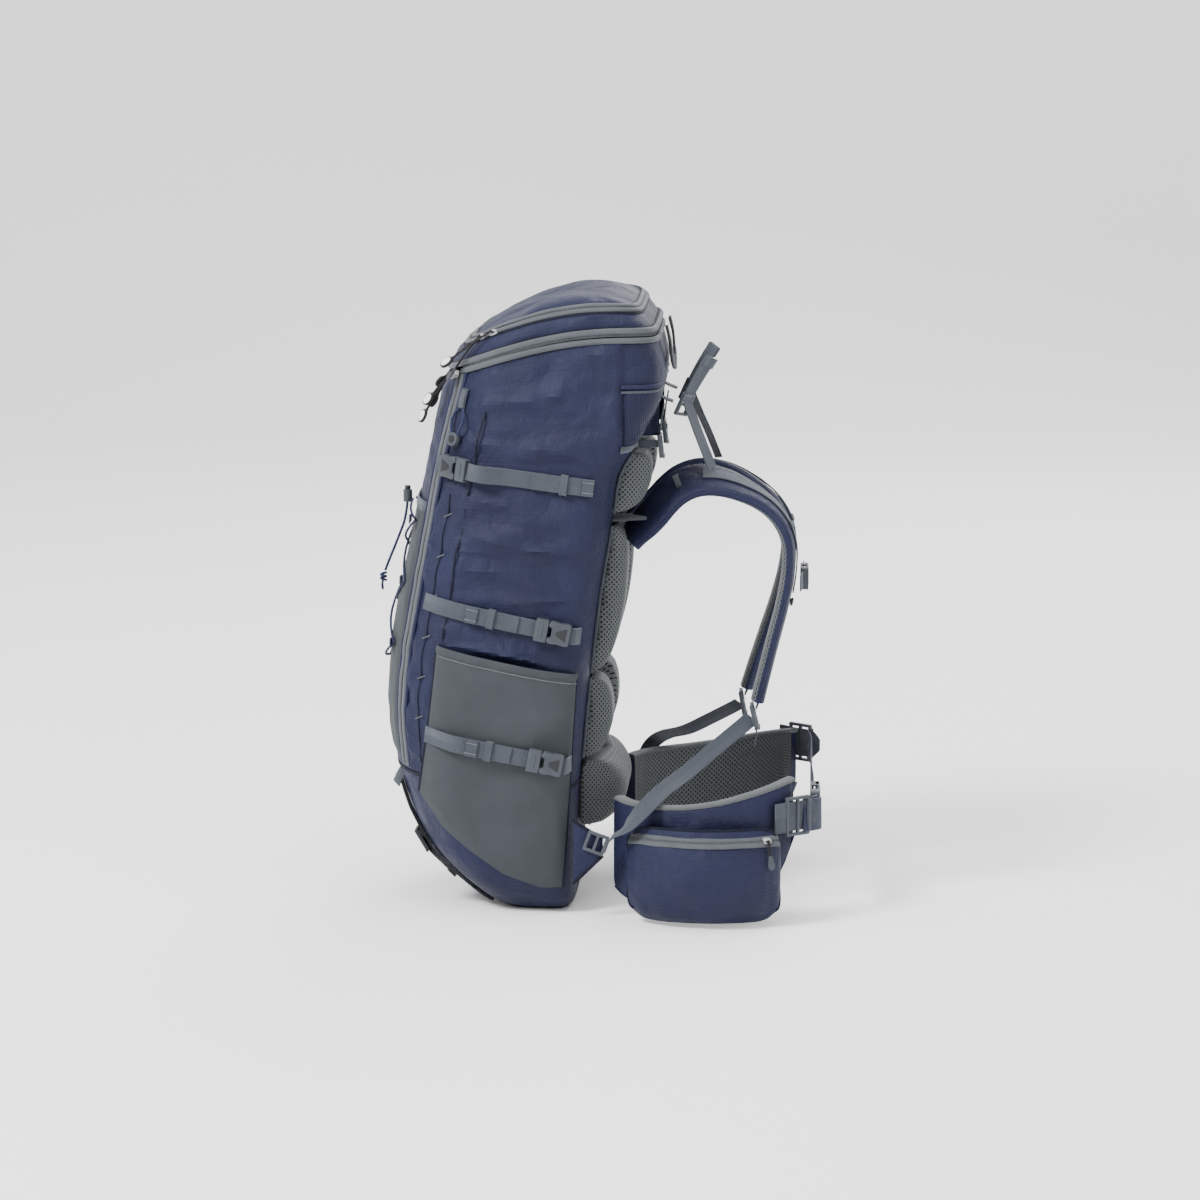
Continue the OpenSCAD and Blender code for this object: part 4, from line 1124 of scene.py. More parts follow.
def zip_lip(piece, run, normal, width, thick, material, wrap=False):
    piece.band(run, normal, oval(width, thick, 12, 2.2), material, wrap)


def coil_line(piece, run, normal, across, wrap=False):
    """Interlocked coils down the middle of a closed zip."""
    run = np.asarray(run)
    pitch = 1.6
    line = spread(np.vstack([run, run[:1]]) if wrap else run, pitch)
    normals = spread_like(np.vstack([normal, normal[:1]]) if wrap else normal, len(line))
    along = unit(np.gradient(line, axis=0))
    side = np.cross(along, normals)
    wave = np.where(np.arange(len(line)) % 2, 1.0, -1.0)[:, None]
    piece.band(line, normals, oval(across, 1.3, 8, 3), zip_coil)
    piece.band(line + side * wave * across * 0.22 + normals * 0.7, normals,
               oval(across * 0.3, 0.9, 6, 2.2), zip_coil)


def slider(piece, at, normal, along, lift=0.0):
    """A zip slider: a raised body with its bail."""
    normal, along = unit(np.asarray(normal, float)), unit(np.asarray(along, float))
    side = np.cross(normal, along)
    place = np.eye(4)
    place[:3, :3] = np.column_stack([along, side, normal])
    place[:3, 3] = np.asarray(at) + normal * lift
    piece.plate([(-6, -3), (-4, -4.2), (3, -4.2), (6, -2.4), (6, 2.4), (3, 4.2), (-4, 4.2), (-6, 3)],
                2.2, slider_metal, place, 0.6)
    piece.band(placed([(-3.6, 0, 2), (-3, 0, 4.2), (0, 0, 4.8), (3, 0, 4.2), (3.6, 0, 2)], place),
               side, oval(1.4, 2.6), slider_metal)


def pull_cord(piece, start, ends, disc_at, normal, disc=True):
    """A looped cord from a slider to a rubber disc with a plain white face."""
    start, disc_at = np.asarray(start, float), np.asarray(disc_at, float)
    normal = unit(np.asarray(normal, float))
    along = unit(disc_at - start)
    side = np.cross(along, normal)
    for s in (-1, 1):
        run = smooth([start + side * s * 0.5, *[np.asarray(e) + side * s * 1.5 for e in ends],
                      disc_at - along * 7.5 + side * s * 1.1, disc_at - along * 4 + side * s * 0.6], 5)
        piece.tube(run, 2.0, black_cord, 8)
    place = np.eye(4)
    place[:3, :3] = np.column_stack([along, side, normal])
    place[:3, 3] = disc_at
    if disc:
        piece.rod(8.4, -1.7, 1.7, pull_rubber, place, 1.0, 36)
        piece.rod(6.6, 1.2, 2.15, white_disc, place, 0.5, 36)
        piece.block((-10.5, -2.6, -1.3), (-6, 2.6, 1.3), pull_rubber, place, 0.9)
    else:
        outline = [(-9, -1.8), (-3, -3.2), (3, -4.4), (7, -3.6), (9, 0), (7, 3.6), (3, 4.4), (-3, 3.2),
                   (-9, 1.8)]
        piece.plate(outline, 2.4, grey_acetal, place @ moved(z=-1.2), 0.8)


class BACKPACK_OT_zips(Piecework, bpy.types.Operator):
    """Rolled zip bands with their coils, sliders and pulls"""
    bl_idname = "backpack.zips"
    bl_label = "Zips"

    def build(self):
        around = even_angles(-180, 180, 3.4, RIM_ROW)[:-1]
        sides = np.concatenate([-even_angles(0, PANEL_ANGLE, 3.4, RIM_ROW)[::-1],
                                even_angles(0, PANEL_ANGLE, 3.4, RIM_ROW)[1:]])

        def ring(at, angles, off, wobble=0.4):
            p = skin(at, angles)
            return p + skin_normal(at, angles) * (off + wobble * ripple(p, 45, 71))[:, None]
        lower = Piece()
        lip, seam = under_rim(sides, 3.2), under_rim(sides, 7.2)
        zip_lip(lower, ring(lip, sides, 2.2), skin_normal(lip, sides), 7, 4.0, zip_tape)
        lower.band(ring(seam, sides, 0.9, 0), skin_normal(seam, sides), strip(3, 1.2), seam_painted_shade)
        coil_line(lower, ring(14.4, sides, 1.2, 0), skin_normal(14.4, sides), 4)
        lower.make("main_zip_band", "bag", "zip_tape", ["main_zip_tape"])

        upper = Piece()
        zip_lip(upper, ring(15.12, around, 2.2), skin_normal(15.12, around), 7, 4.0, zip_tape, True)
        upper.band(ring(15.42, around, 0.9, 0), skin_normal(15.42, around), strip(3, 1.2), seam_painted_shade, True)
        zip_lip(upper, ring(16.78, around, 1.7), skin_normal(16.78, around), 5.5, 3.4, zip_tape, True)
        upper.band(ring(16.58, around, 0.8, 0), skin_normal(16.58, around), strip(3, 1.2), seam_painted_shade, True)
        coil_line(upper, ring(16.95, around, 1.0, 0), skin_normal(16.95, around), 3.4, True)
        slider(upper, skin(16.8, 226, 1.4), skin_normal(16.8, 226), skin(16.8, 230) - skin(16.8, 222))
        slider(upper, skin(16.8, 238, 1.4), skin_normal(16.8, 238), skin(16.8, 242) - skin(16.8, 234))
        upper.make("lid_zip_band", "lid", "zip_tape", ["lid_zip_tape"])

        flap = Piece()
        zip_lip(flap, ring(17.16, around, 1.6), skin_normal(17.16, around), 5.5, 3.4, zip_tape, True)
        flap.band(ring(17.36, around, 0.8, 0), skin_normal(17.36, around), strip(3, 1.2), seam_painted_shade, True)
        flap.make("lid_zip_lip", "lid_flap", "zip_tape")

        rows = np.linspace(SEAM_ROW + 0.02, 13.6, 150)
        for name, mark, body, slot_replaced in (("front_zip_band", 1, "bag", None),
                                                ("front_zip_lip", -1, "front_panel", ["front_zip_tape"])):
            piece = Piece()
            for side in (-1, 1):
                middle = PANEL_ANGLE - 0.5
                for inner, width in ((2.1, 7), (5.0, 5)):
                    if mark > 0:
                        angle = middle - inner * 0.95
                    else:
                        angle = middle + 1 + inner * 0.95
                    p = skin(rows, angle)
                    n = skin_normal(rows, angle)
                    p = p + n * (2.1 + 0.45 * ripple(p, 30, 5 + int(width)))[:, None]
                    if side > 0:
                        p, n = p * (1, -1, 1), n * (1, -1, 1)
                    zip_lip(piece, p, n, width, 3.8, zip_tape if inner < 3 else navy_nylon)
                if mark < 0:
                    p, n = skin(rows, PANEL_ANGLE + 0.2, 1.2), skin_normal(rows, PANEL_ANGLE)
                    if side > 0:
                        p, n = p * (1, -1, 1), n * (1, -1, 1)
                    coil_line(piece, p, n, 4.4)
                else:
                    for height in range(187, 500, 97 // 2):
                        x = float(np.interp(height, skin(rows, PANEL_ANGLE)[:, 2], zip_x(rows))) + 21
                        tack = bed(np.array([x - 5, x + 5]), np.array([height - 2.5, height + 2.5]), 2.4)
                        n = bed_normal(tack[:, 0], tack[:, 2])
                        if side > 0:
                            tack, n = tack * (1, -1, 1), n * (1, -1, 1)
                        piece.band(tack, n, oval(2.0, 1.0), grey_webbing)
            piece.make(name, body, "zip_tape", slot_replaced or ())

        tab = Piece()
        for side in (-1, 1):
            run = smooth([(-222, side * 92, 178), (-234, side * 88, 166), (-242, side * 84, 154),
                          (-247, side * 80, 143)], 6)
            tab.band(run, unit(np.array([-0.8, side * 0.5, -0.35])), strip(13, 2.2), grey_webbing)
        tab.make("zip_end_tabs", "bag", "zip_tape")

        piece = Piece()
        pulls = Piece()
        for at, angle, disc in ((13.72, 216, (-204, -86, 605)), (13.66, 211.5, (-212, -71, 583))):
            normal = skin_normal(at, angle)
            place = skin(at, angle, 3.4)
            slider(piece, place, normal, skin(at, angle + 2) - skin(at, angle - 2))
            slider(piece, place * (1, -1, 1), normal * (1, -1, 1),
                   (skin(at, angle + 2) - skin(at, angle - 2)) * (1, -1, 1))
            hang = place + normal * 5.5
            pull_cord(pulls, hang, [hang * 0.55 + np.array(disc) * 0.45 + normal * 2],
                      np.array(disc) + normal * 1.5, normal)
        piece.make("main_zip_sliders_detail", "front_panel", "zip_tape", ["main_zip_sliders"])
        pulls.make("main_zip_pull_cords_right", "main_pulls_right", "zip_pull", ["main_zip_pulls_right"])
        pulls.make("main_zip_pull_cords_left", "main_pulls_left", "zip_pull", ["main_zip_pulls_left"],
                   mirror=True)
        pulls = Piece()
        for angle, disc, has_disc in ((238, (-181, -112, 651), True), (226, (-176, -104, 636), False)):
            normal = skin_normal(16.8, angle)
            hang = skin(16.8, angle, 1.4) + normal * 5
            low = np.array(disc, float)
            pull_cord(pulls, hang, [hang * 0.5 + low * 0.5 + normal * 1.5], low + normal, normal,
                      disc=has_disc)
        pulls.make("lid_zip_pull_cords", "lid_pulls", "zip_pull", ["lid_zip_pulls"])


# Pockets, cord lacing and side straps --------------------------------------------------------

def box_of(node):
    low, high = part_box(node)
    return np.array(low) / MM, np.array(high) / MM


POCKET_FOOT = ((-213, 146), (-185, 106), (-155, 80), (-114, 50), (-71, 34), (-46, 34))
POCKET_TOP = ((-190, 319), (-22, 285))


class BACKPACK_OT_pockets(Piecework, bpy.types.Operator):
    """Stretch side pockets and the long stretch pocket on the front"""
    bl_idname = "backpack.pockets"
    bl_label = "Pockets"

    def build(self):
        def side_pocket(side, mirror):
            u, h = np.meshgrid(np.linspace(0, 1, 58), np.linspace(0, 1, 76))
            x = (-213 + 23 * h) * (1 - u) + (-46 + 16 * h) * u
            foot = np.interp(x, *np.array(POCKET_FOOT, float).T)
            mouth = np.interp(x, *np.array(POCKET_TOP, float).T)
            z = foot + (mouth - foot) * h
            p, n = bed(x, z, 0), bed_normal(x, z)
            folds = ripple(p, 60, 61, (1.3, 1, 0.9)) * 1.2 + ripple(p, 26, 62) * 0.4
            edges = np.minimum(np.minimum(rise(u, 0, 0.08), 1 - rise(u, 0.92, 1)), rise(h, 0, 0.08))
            gap = 2.2 + 16 * h ** 1.5 * np.sin(math.pi * u) ** 0.5
            lift = gap + edges * (1.2 + folds)
            out, inn = p + n * (lift + 1.4)[..., None], p + n * lift[..., None]
            piece = Piece()
            piece.shell(out, inn, grey_stretch, grey_stretch)
            piece.band(out[-1] - n[-1] * 0.6, n[-1], oval(9, 2.8, 12), grey_stretch)
            piece.stitches(out[-1] - (0, 0, 7) + n[-1] * 0.3, n[-1], grey_thread, 0.2)
            for column in (0, -1):
                piece.band(out[:, column], n[:, column], oval(3, 2), seam_painted_shade)
            piece.make(f"side_pocket_{side}_cloth", "bag", "stretch_fabric", [f"side_pocket_{side}"],
                       mirror)
        both_sides(side_pocket)

        angles = even_angles(PANEL_ANGLE + 3.4, 360 - PANEL_ANGLE - 3.4, 3.4, 7)
        rows = even_rows(SEAM_ROW + 0.1, 9.32, 3.6)
        v, t = np.meshgrid(rows, angles, indexing="ij")
        p, n = skin(v, t), skin_normal(v, t)
        share = (v - rows[0]) / (rows[-1] - rows[0])
        round_it = np.abs(t - 180) / (angles[-1] - 180)
        edges = np.minimum(rise(share, 0, 0.05), 1 - rise(round_it, 0.86, 1))
        folds = ripple(p, 66, 77, (1, 1.1, 1.3)) + 0.4 * ripple(p, 28, 78)
        lift = 1.1 + edges * (3.4 + 1.3 * np.sin(share * math.pi) + 1.1 * folds)
        piece = Piece()
        outer, inner = p + n * lift[..., None], p + n * (lift - 0.9)[..., None]
        piece.shell(outer, inner, grey_stretch, grey_stretch)
        piece.band(outer[-1], n[-1], oval(13, 3), grey_webbing)
        piece.stitches(outer[-1] - (0, 0, 9) + n[-1] * 0.6, n[-1], grey_thread, 0.2)
        for column in (0, -1):
            piece.band(outer[:, column] + n[:, column] * 0.5, n[:, column], oval(6, 2.2), navy_nylon)
        piece.make("front_pocket_cloth", "front_panel", "stretch_fabric", ["front_pocket"])


LACE_STOPS = np.array([(9.25, 0.02), (9.05, 1), (8, -1), (7, 1), (6.6, 0), (7, -1), (8, 1), (9.05, -1),
                       (9.25, -0.02)])
LACE_ANGLE, LACE_OFF = 27, 8.1


def lace_point(k):
    """Where the lacing cord runs: down the front crossing over, and crossing back up."""
    i = min(int(k), len(LACE_STOPS) - 2)
    v, s = LACE_STOPS[i] + (k - i) * (LACE_STOPS[i + 1] - LACE_STOPS[i])
    over = (1 - s * s) * 3.6 if k < 4 else 0
    return skin(v, 180 + s * LACE_ANGLE, LACE_OFF + over)


class BACKPACK_OT_lacing(Piecework, bpy.types.Operator):
    """Cord lacing over the front pocket with its tabs and cord lock"""
    bl_idname = "backpack.lacing"
    bl_label = "Lacing"

    def build(self):
        piece = Piece()
        for low, high in node_islands("lace_tabs"):
            middle = (low + high) / 2
            normal = unit(np.array([-1.0, np.sign(middle[1]) * 0.28, 0.05]))
            across = np.array([0, high[1] - low[1], 0])
            run = [middle + across * s + normal * (2.2 * (1 - (2 * s) ** 2)) for s in
                   np.linspace(-0.46, 0.46, 9)]
            piece.band(np.array(run), normal, strip(min(10, high[2] - low[2]), 1.2), navy_webbing)
        piece.make("lace_tab_loops", "front_panel", "grey_webbing", ["lace_tabs"])

        path = [lace_point(k) for k in np.arange(0, 8.01, 0.1)]
        piece = Piece()
        piece.tube(np.array(path), 3.0, navy_cord, 10)
        piece.make("front_lacing_cord", "front_panel", "cord", ["front_lace"])

        low, high = box_of("lace_lock_body")
        half = (high - low) / 2
        piece = Piece()
        piece.rod(half[0] * 0.98, -half[2], half[2], grey_acetal, moved(*(low + high) / 2), 1.2, 32)
        piece.make("lace_lock_barrel", "front_panel", "dark_plastic", ["lace_lock_body"])


def node_points(node):
    """World points of a node's mesh, in millimetres."""
    thing = bpy.data.objects.get(node)
    points = np.empty(len(thing.data.vertices) * 3)
    thing.data.vertices.foreach_get("co", points)
    return points.reshape(-1, 3) / MM


def node_islands(node):
    """Lowest and highest corner of each separate solid in a node."""
    thing = bpy.data.objects.get(node)
    points = node_points(node)
    keys = {}
    names = np.array([keys.setdefault(tuple(p), len(keys)) for p in np.round(points, 2)])
    parent = list(range(len(keys)))

    def root(i):
        while parent[i] != i:
            parent[i] = parent[parent[i]]
            i = parent[i]
        return i
    for face in thing.data.polygons:
        corners = [names[i] for i in face.vertices]
        for other in corners[1:]:
            parent[root(other)] = root(corners[0])
    roots = np.array([root(k) for k in names])
    return [(points[roots == r].min(axis=0), points[roots == r].max(axis=0))
            for r in sorted(set(roots.tolist()))]


# Straps and hardware -------------------------------------------------------------------------

SOCKET_SHARE = 0.62


def frame_of(origin, along, out):
    """A placement whose x runs along and whose z points out."""
    along, out = unit(np.asarray(along, float)), unit(np.asarray(out, float))
    side = np.cross(out, along)
    m = np.eye(4)
    m[:3, :3] = np.column_stack([along, side, np.cross(along, side)])
    m[:3, 3] = origin
    return m


def ladder_lock(piece, place, width, length, thick=5.0, material=None):
    """A ladder lock: two side rails, three rounded bars and a raised thumb bar."""
    material = material or grey_acetal
    outer = width / 2 + 4.5
    for s in (-1, 1):
        piece.block((-length / 2, s * (outer - 4), -thick / 2), (length / 2, s * outer, thick / 2),
                    material, place, 1.5)
    for x, across, lift in ((-length / 2 + 2, 4, 0), (0, 3.6, 0.4), (length / 2 - 2, 4, 0.5)):
        piece.block((x - across / 2, -outer + 1.4, -thick / 2 + 0.5),
                    (x + across / 2, outer - 1.4, thick / 2 - 0.3 + lift), material, place, 1.4)
    piece.block((length / 2 - 3, -outer + 5, thick / 2 - 1), (length / 2 + 1.4, outer - 5, thick / 2 + 1.2),
                material, place, 1.0)


def socket_body(piece, place, width, length, thick):
    """The female half of a side-release buckle."""
    long, half = length * SOCKET_SHARE, width / 2 + 3.5
    face = [(-long, -half + 3), (-long + 3, -half), (-long * 0.52, -half + 1.0), (-3, -half),
            (0, -half + 2.5), (0, -half + 6), (-4, -half + 8.5), (-4, half - 8.5), (0, half - 6),
            (0, half - 2.5), (-3, half), (-long * 0.52, half - 1.0), (-long + 3, half), (-long, half - 3)]
    piece.plate(face, 2.8, grey_acetal, place @ moved(z=thick - 2.8), 0.9)
    piece.plate(face, 2.2, grey_acetal, place, 0.8)
    piece.block((-long, -half + 1, 1), (-long + 6.5, half - 1, thick - 1), grey_acetal, place, 1.0)
    for s in (-1, 1):
        piece.block((-long + 3, s * (half - 0.4), 1.4), (-long * 0.55, s * (half - 3), thick - 1.4),
                    grey_acetal, place, 0.6)
    piece.plate([(-long * 0.84, -half + 5.5), (-long * 0.36, -2.2), (-long * 0.36, 2.2),
                 (-long * 0.84, half - 5.5)], 0.35, black_acetal, place @ moved(z=thick - 0.05), 0.1)


def clip_body(piece, place, width, length, thick):
    """The male half: its webbing bars, two sprung arms and the middle guide."""
    base, half, reach = length * (1 - SOCKET_SHARE), width / 2 + 3.5, length * SOCKET_SHARE - 9
    face = [(0.6, -half + 3.2), (3.5, -half), (base - 3, -half), (base, -half + 3), (base, half - 3),
            (base - 3, half), (3.5, half), (0.6, half - 3.2)]
    piece.plate(face, 1.5, grey_acetal, place, 0.6)
    piece.plate(face, thick - 6.6, grey_acetal, place @ moved(z=5.8), 0.9)
    for s in (-1, 1):
        piece.block((0.8, s * (half - 2.4), 0.5), (base - 0.5, s * half, thick - 1), grey_acetal, place, 0.9)
        piece.block((-reach + 1, s * (width / 2 - 4), 5.6), (1.5, s * (width / 2 - 1), thick - 4.2),
                    grey_acetal, place, 0.6)
    piece.block((base * 0.45, -half + 6, thick - 1.2), (base * 0.6, half - 6, thick + 0.1), grey_acetal,
                place, 0.4)


def webbing(piece, route, normal, width, material, thick=1.7, count=5):
    """A length of webbing along a smooth route, with soft edges."""
    run = spread(smooth(route, count), 3.2)
    if np.ndim(normal) == 2:
        normal = spread_like(np.asarray(normal, float), len(run))
    piece.band(run, normal, strip(width, thick), material)
    return run


def folded_end(piece, run, normal, width, material, turns=3, thick=1.7):
    """The rolled and sewn end of a webbing, a few layers thick."""
    tail = run[-5:]
    normal = np.asarray(normal, float)
    for k in range(turns):
        piece.band(tail + normal * thick * (k + 0.9), normal, strip(width * 0.99, thick), material)
    rows = [tail + normal * (thick * turns + 1.0) + unit(np.cross(tail[-1] - tail[0], normal)) * s * width
            for s in (-0.3, 0.3)]
    for row in rows:
        piece.stitches(row, normal, grey_thread, 0.2, 2.4)


STRAP_GAP = {"top": 2.5, "middle": 2.5, "bottom": 17}
WEBBING_WIDE, BUCKLE_LONG = 20, 42


def side_strap_place(name):
    _, _, z, slope, at, turn, _ = SIDE_STRAPS[name]
    a, b = math.radians(slope), math.radians(turn)
    along = np.array([math.cos(b) * math.cos(a), -math.sin(b), -math.cos(b) * math.sin(a)])
    out = np.array([-math.sin(b) * math.cos(a), -math.cos(b), math.sin(b) * math.sin(a)])
    origin = np.array([at, -float(side_y(at, z)) - STRAP_GAP[name], z])
    return origin, along, out


def side_strap_point(name, x, gap):
    _, _, z, slope, at, *_ = SIDE_STRAPS[name]
    height = z - (x - at) * math.tan(math.radians(slope))
    return np.array([x, -float(side_y(x, height)) - gap, height])


class BACKPACK_OT_side_straps(Piecework, bpy.types.Operator):
    """Compression straps on both sides with their side-release buckles"""
    bl_idname = "backpack.side_straps"
    bl_label = "Side Straps"

    def build(self):
        def straps(side, mirror):
            belts, sockets = Piece(), Piece()
            for name in SIDE_STRAPS:
                front, back, _, _, at, _, way = SIDE_STRAPS[name]
                origin, along, out = side_strap_place(name)
                inside = origin + out * 3.3
                long, short = BUCKLE_LONG * SOCKET_SHARE, BUCKLE_LONG * (1 - SOCKET_SHARE)
                over = 15 if name == "bottom" else 0
                place = frame_of(origin, along * way, out)
                socket_body(sockets, place, WEBBING_WIDE, BUCKLE_LONG, 10)
                clip = Piece()
                clip_body(clip, place, WEBBING_WIDE, BUCKLE_LONG, 10)
                clip.make(f"side_clip_{side}_{name}", f"clip_{side}_{name}", "dark_plastic",
                          [f"clip_{side}_{name}"], mirror)

                def bed_at(x, gap):
                    return side_strap_point(name, x, gap)
                if way > 0:
                    route = [inside + along * d for d in (short / 2, short + 20)] + [
                        bed_at(x, g) for x, g in ((-112, 4.5), (-80, 3.2), (-45, 3.2), (back, 3))]
                    lead = [inside + along * d for d in (-long - 11, -long - 6, -long + 2)]
                else:
                    heights = (0.15, 0.25, 0.55, 1, 1, 1, 1)
                    xs = (front, -198, -188, -172, -155, -135, -115)
                    route = [bed_at(x, (3, 3.5, 4, 4, 4, 4, 4)[k] + over * heights[k])
                             for k, x in enumerate(xs)]
                    route += [inside - along * (short + 20), inside - along * short / 2]
                    lead = [inside + along * (long - 2), inside + along * (long + 4),
                            bed_at((at + long + back) / 2 + 6, 3.4 + over * 0.7),
                            bed_at(back, 3.2 + over / 2)]
                normal = bed_normal(np.array([p[0] for p in route]), np.array([p[2] for p in route]))
                webbing(belts, route, normal, WEBBING_WIDE, grey_webbing)
                webbing(belts, lead, bed_normal(np.array([p[0] for p in lead]),
                                                np.array([p[2] for p in lead])), WEBBING_WIDE, grey_webbing)
                tail = [p + n * 2.1 for p, n in zip(route, normal)]
                tail = tail[3:] if way > 0 else tail[-5:-1][::-1]
                mean = unit(normal.mean(axis=0))
                run = webbing(belts, tail, mean, WEBBING_WIDE, grey_webbing, 1.5)
                folded_end(belts, run, mean, WEBBING_WIDE, grey_webbing, 2, 1.4)
                keeper_at = run[len(run) // 2]
                direction = unit(run[len(run) // 2 + 1] - run[len(run) // 2])
                cross = np.cross(direction, mean)
                loop = [keeper_at + cross * a + mean * h for a, h in (
                    (-11.6, -2.6), (-11.9, -0.4), (-11.4, 1.6), (-6, 2.3), (0, 2.5), (6, 2.3), (11.4, 1.6),
                    (11.9, -0.4), (11.6, -2.6))]
                outward = [cross * a + mean * h
                           for a, h in ((-1, 0), (-1, 0.1), (-0.7, 0.8), (-0.1, 1), (0, 1),
                                                             (0.1, 1), (0.7, 0.8), (1, 0.1), (1, 0))]
                belts.band(np.array(loop), np.array(outward), strip(9, 1.0), grey_webbing)
            belts.make(f"compression_straps_{side}", "bag", "grey_webbing",
                       [f"compression_webbing_{side}"], mirror)
            sockets.make(f"compression_buckles_{side}", "bag", "dark_plastic",
                         [f"compression_sockets_{side}"], mirror)
        both_sides(straps)


class BACKPACK_OT_base_straps(Piecework, bpy.types.Operator):
    """Sleeping mat straps under the front of the base"""
    bl_idname = "backpack.base_straps"
    bl_label = "Base Straps"

    def build(self):
        belts, locks = Piece(), Piece()
        for s in (-1, 1):
            rows = np.arange(4.6, 0.79, -0.2)
            route = []
            for v in rows:
                angles = np.linspace(100, 180, 200)
                y = skin(v, angles)[:, 1]
                angle = float(np.interp(-84, -y, angles))
                route.append(skin(v, angle, 4.5) * (1, s, 1))
            route = np.array(route)
            outward = unit(np.cross(np.gradient(route, axis=0), np.array([0, 1.0, 0])))
            if outward[3][0] > 0:
                outward = -outward
            webbing(belts, route, outward, WEBBING_WIDE, black_webbing)
            at = int(np.argmin(abs(rows - 3.1)))
            normal = outward[at]
            place = frame_of(route[at] + normal * 5.2, route[at + 1] - route[at - 1], normal)
            ladder_lock(locks, place, WEBBING_WIDE, 30, 5, black_acetal)
            loose = [route[at] + normal * 7.5, route[at + 2] + normal * 5, route[at + 4] + normal * 3.5,
                     route[at + 6] + normal * 3]
            run = webbing(belts, loose, normal, WEBBING_WIDE, black_webbing, 1.6)
            folded_end(belts, run, unit(np.cross(run[-1] - run[-3], np.array([0, 1.0, 0]))) * (
                1 if np.cross(run[-1] - run[-3], np.array([0, 1.0, 0])) @ normal > 0 else -1),
                WEBBING_WIDE, black_webbing, 1, 1.4)
        belts.make("mat_straps", "bag", "black_webbing", ["base_straps"])
        locks.make("mat_strap_locks", "bag", "dark_plastic", ["base_buckles"])


class BACKPACK_OT_tool_keepers(Piecework, bpy.types.Operator):
    """Tool keepers on the front corners: a bungee loop with its toggle"""
    bl_idname = "backpack.tool_keepers"
    bl_label = "Tool Keepers"

    def build(self):
        def keeper(side, mirror):
            normal = skin_normal(11.4, 231)
            down = unit(np.array([-0.06, 0, -1.0]) - normal * (normal @ np.array([-0.06, 0, -1.0])))
            place = frame_of(skin(11.4, 231, 4.2), down, normal)
            piece = Piece()
            webbing(piece, placed([(-40, 0, 0.6), (-28, 0, 1.6), (-16, 0, 1.2)], place), normal, 10,
                    grey_webbing)
            webbing(piece, placed([(-38, 0, 2.2), (-28, 0, 3.2), (-17, 0, 2.6)], place), normal, 9,
                    grey_webbing)
            loop = [(-17, -2, 1.4), (-11, -7, 3), (0, -8.6, 4.6), (10, -6, 4.4), (20, -2.4, 3.4),
                    (20, 2.4, 3.4), (10, 7, 4.4), (0, 9.6, 4.6), (-11, 7.6, 3), (-17, 2, 1.4)]
            piece.tube(placed(smooth(loop, 5), place), 3.0, navy_cord, 10)
            piece.rod(8.2, 0.2, 7.0, grey_acetal, place @ moved(21, 0, 0), 1.6, 32)
            piece.rod(4.4, 6.4, 7.8, black_acetal, place @ moved(21, 0, 0), 0.5, 24)
            piece.make(f"tool_keeper_{side}_loop", "bag", "grey_webbing", [f"tool_keeper_{side}"], mirror)
        both_sides(keeper)


# Back and frame ------------------------------------------------------------------------------

def back_x(z):
    rows = np.linspace(0, TOP_ROW, 400)
    line = skin(rows, 0)
    keep = rows < 13.5
    return np.interp(z, line[keep, 2], line[keep, 0])


def swell(made, cap, pressure=4.0, voxel=0.005):
    """Fills a closed cloth form like a pad and keeps every point within cap of where it was."""
    scene = bpy.context.scene
    remesh = made.modifiers.new("remesh", "REMESH")
    remesh.mode, remesh.voxel_size = "VOXEL", voxel
    bake_modifiers(made)
    start = np.empty(len(made.data.vertices) * 3)
    made.data.vertices.foreach_get("co", start)
    cloth = made.modifiers.new("cloth", "CLOTH")
    cloth.settings.use_pressure = True
    cloth.settings.uniform_pressure_force = pressure
    cloth.settings.effector_weights.gravity = 0
    cloth.settings.tension_stiffness = cloth.settings.compression_stiffness = 30
    cloth.point_cache.frame_start, cloth.point_cache.frame_end = 1, 20
    for step in range(1, 21):
        scene.frame_set(step)
    bake_modifiers(made)
    scene.frame_set(1)
    end = np.empty_like(start)
    made.data.vertices.foreach_get("co", end)
    move = (end - start).reshape(-1, 3)
    far = np.linalg.norm(move, axis=1, keepdims=True)
    move = move * np.minimum(1, cap / np.maximum(far, 1e-9))
    made.data.vertices.foreach_set("co", (start.reshape(-1, 3) + move).ravel())
    soften = made.modifiers.new("soften", "SUBSURF")
    soften.levels = soften.render_levels = 1
    bake_modifiers(made)
    made.data.polygons.foreach_set("use_smooth", [True] * len(made.data.polygons))


def bake_modifiers(made):
    """Puts the shape that the modifiers give into the mesh and removes them."""
    shaped = made.evaluated_get(bpy.context.evaluated_depsgraph_get())
    mesh = bpy.data.meshes.new_from_object(shaped)
    old = made.data
    made.modifiers.clear()
    made.data = mesh
    if not mesh.materials:
        for material in old.materials:
            mesh.materials.append(material)
    mesh.name = made.name


def pad_form(piece, low, high, bulge, width, y, material, shrink=0.0):
    u = np.linspace(-1, 1, 25)
    h = np.linspace(0, 1, 33)
    grid_u, grid_h = np.meshgrid(u, h)
    z = low - 5 + (high - low + 10) * grid_h
    round_u = (1 - np.abs(grid_u) ** 7) ** 0.4
    round_h = (1 - np.abs(2 * grid_h - 1) ** 9) ** 0.4
    deep = (8 + bulge * np.sin(np.radians(15 + 150 * grid_h)) ** 0.6 - shrink) * np.minimum(round_u, round_h)
    base = back_x(z) + 1.2
    place_y = y + grid_u * (width / 2 - shrink * 0.5)
    outer = np.stack([base + 2 + np.maximum(deep - 2, 0.2), place_y, z], axis=-1)
    inner = np.stack([base, place_y, z], axis=-1)
    piece.shell(outer, inner, material, material)


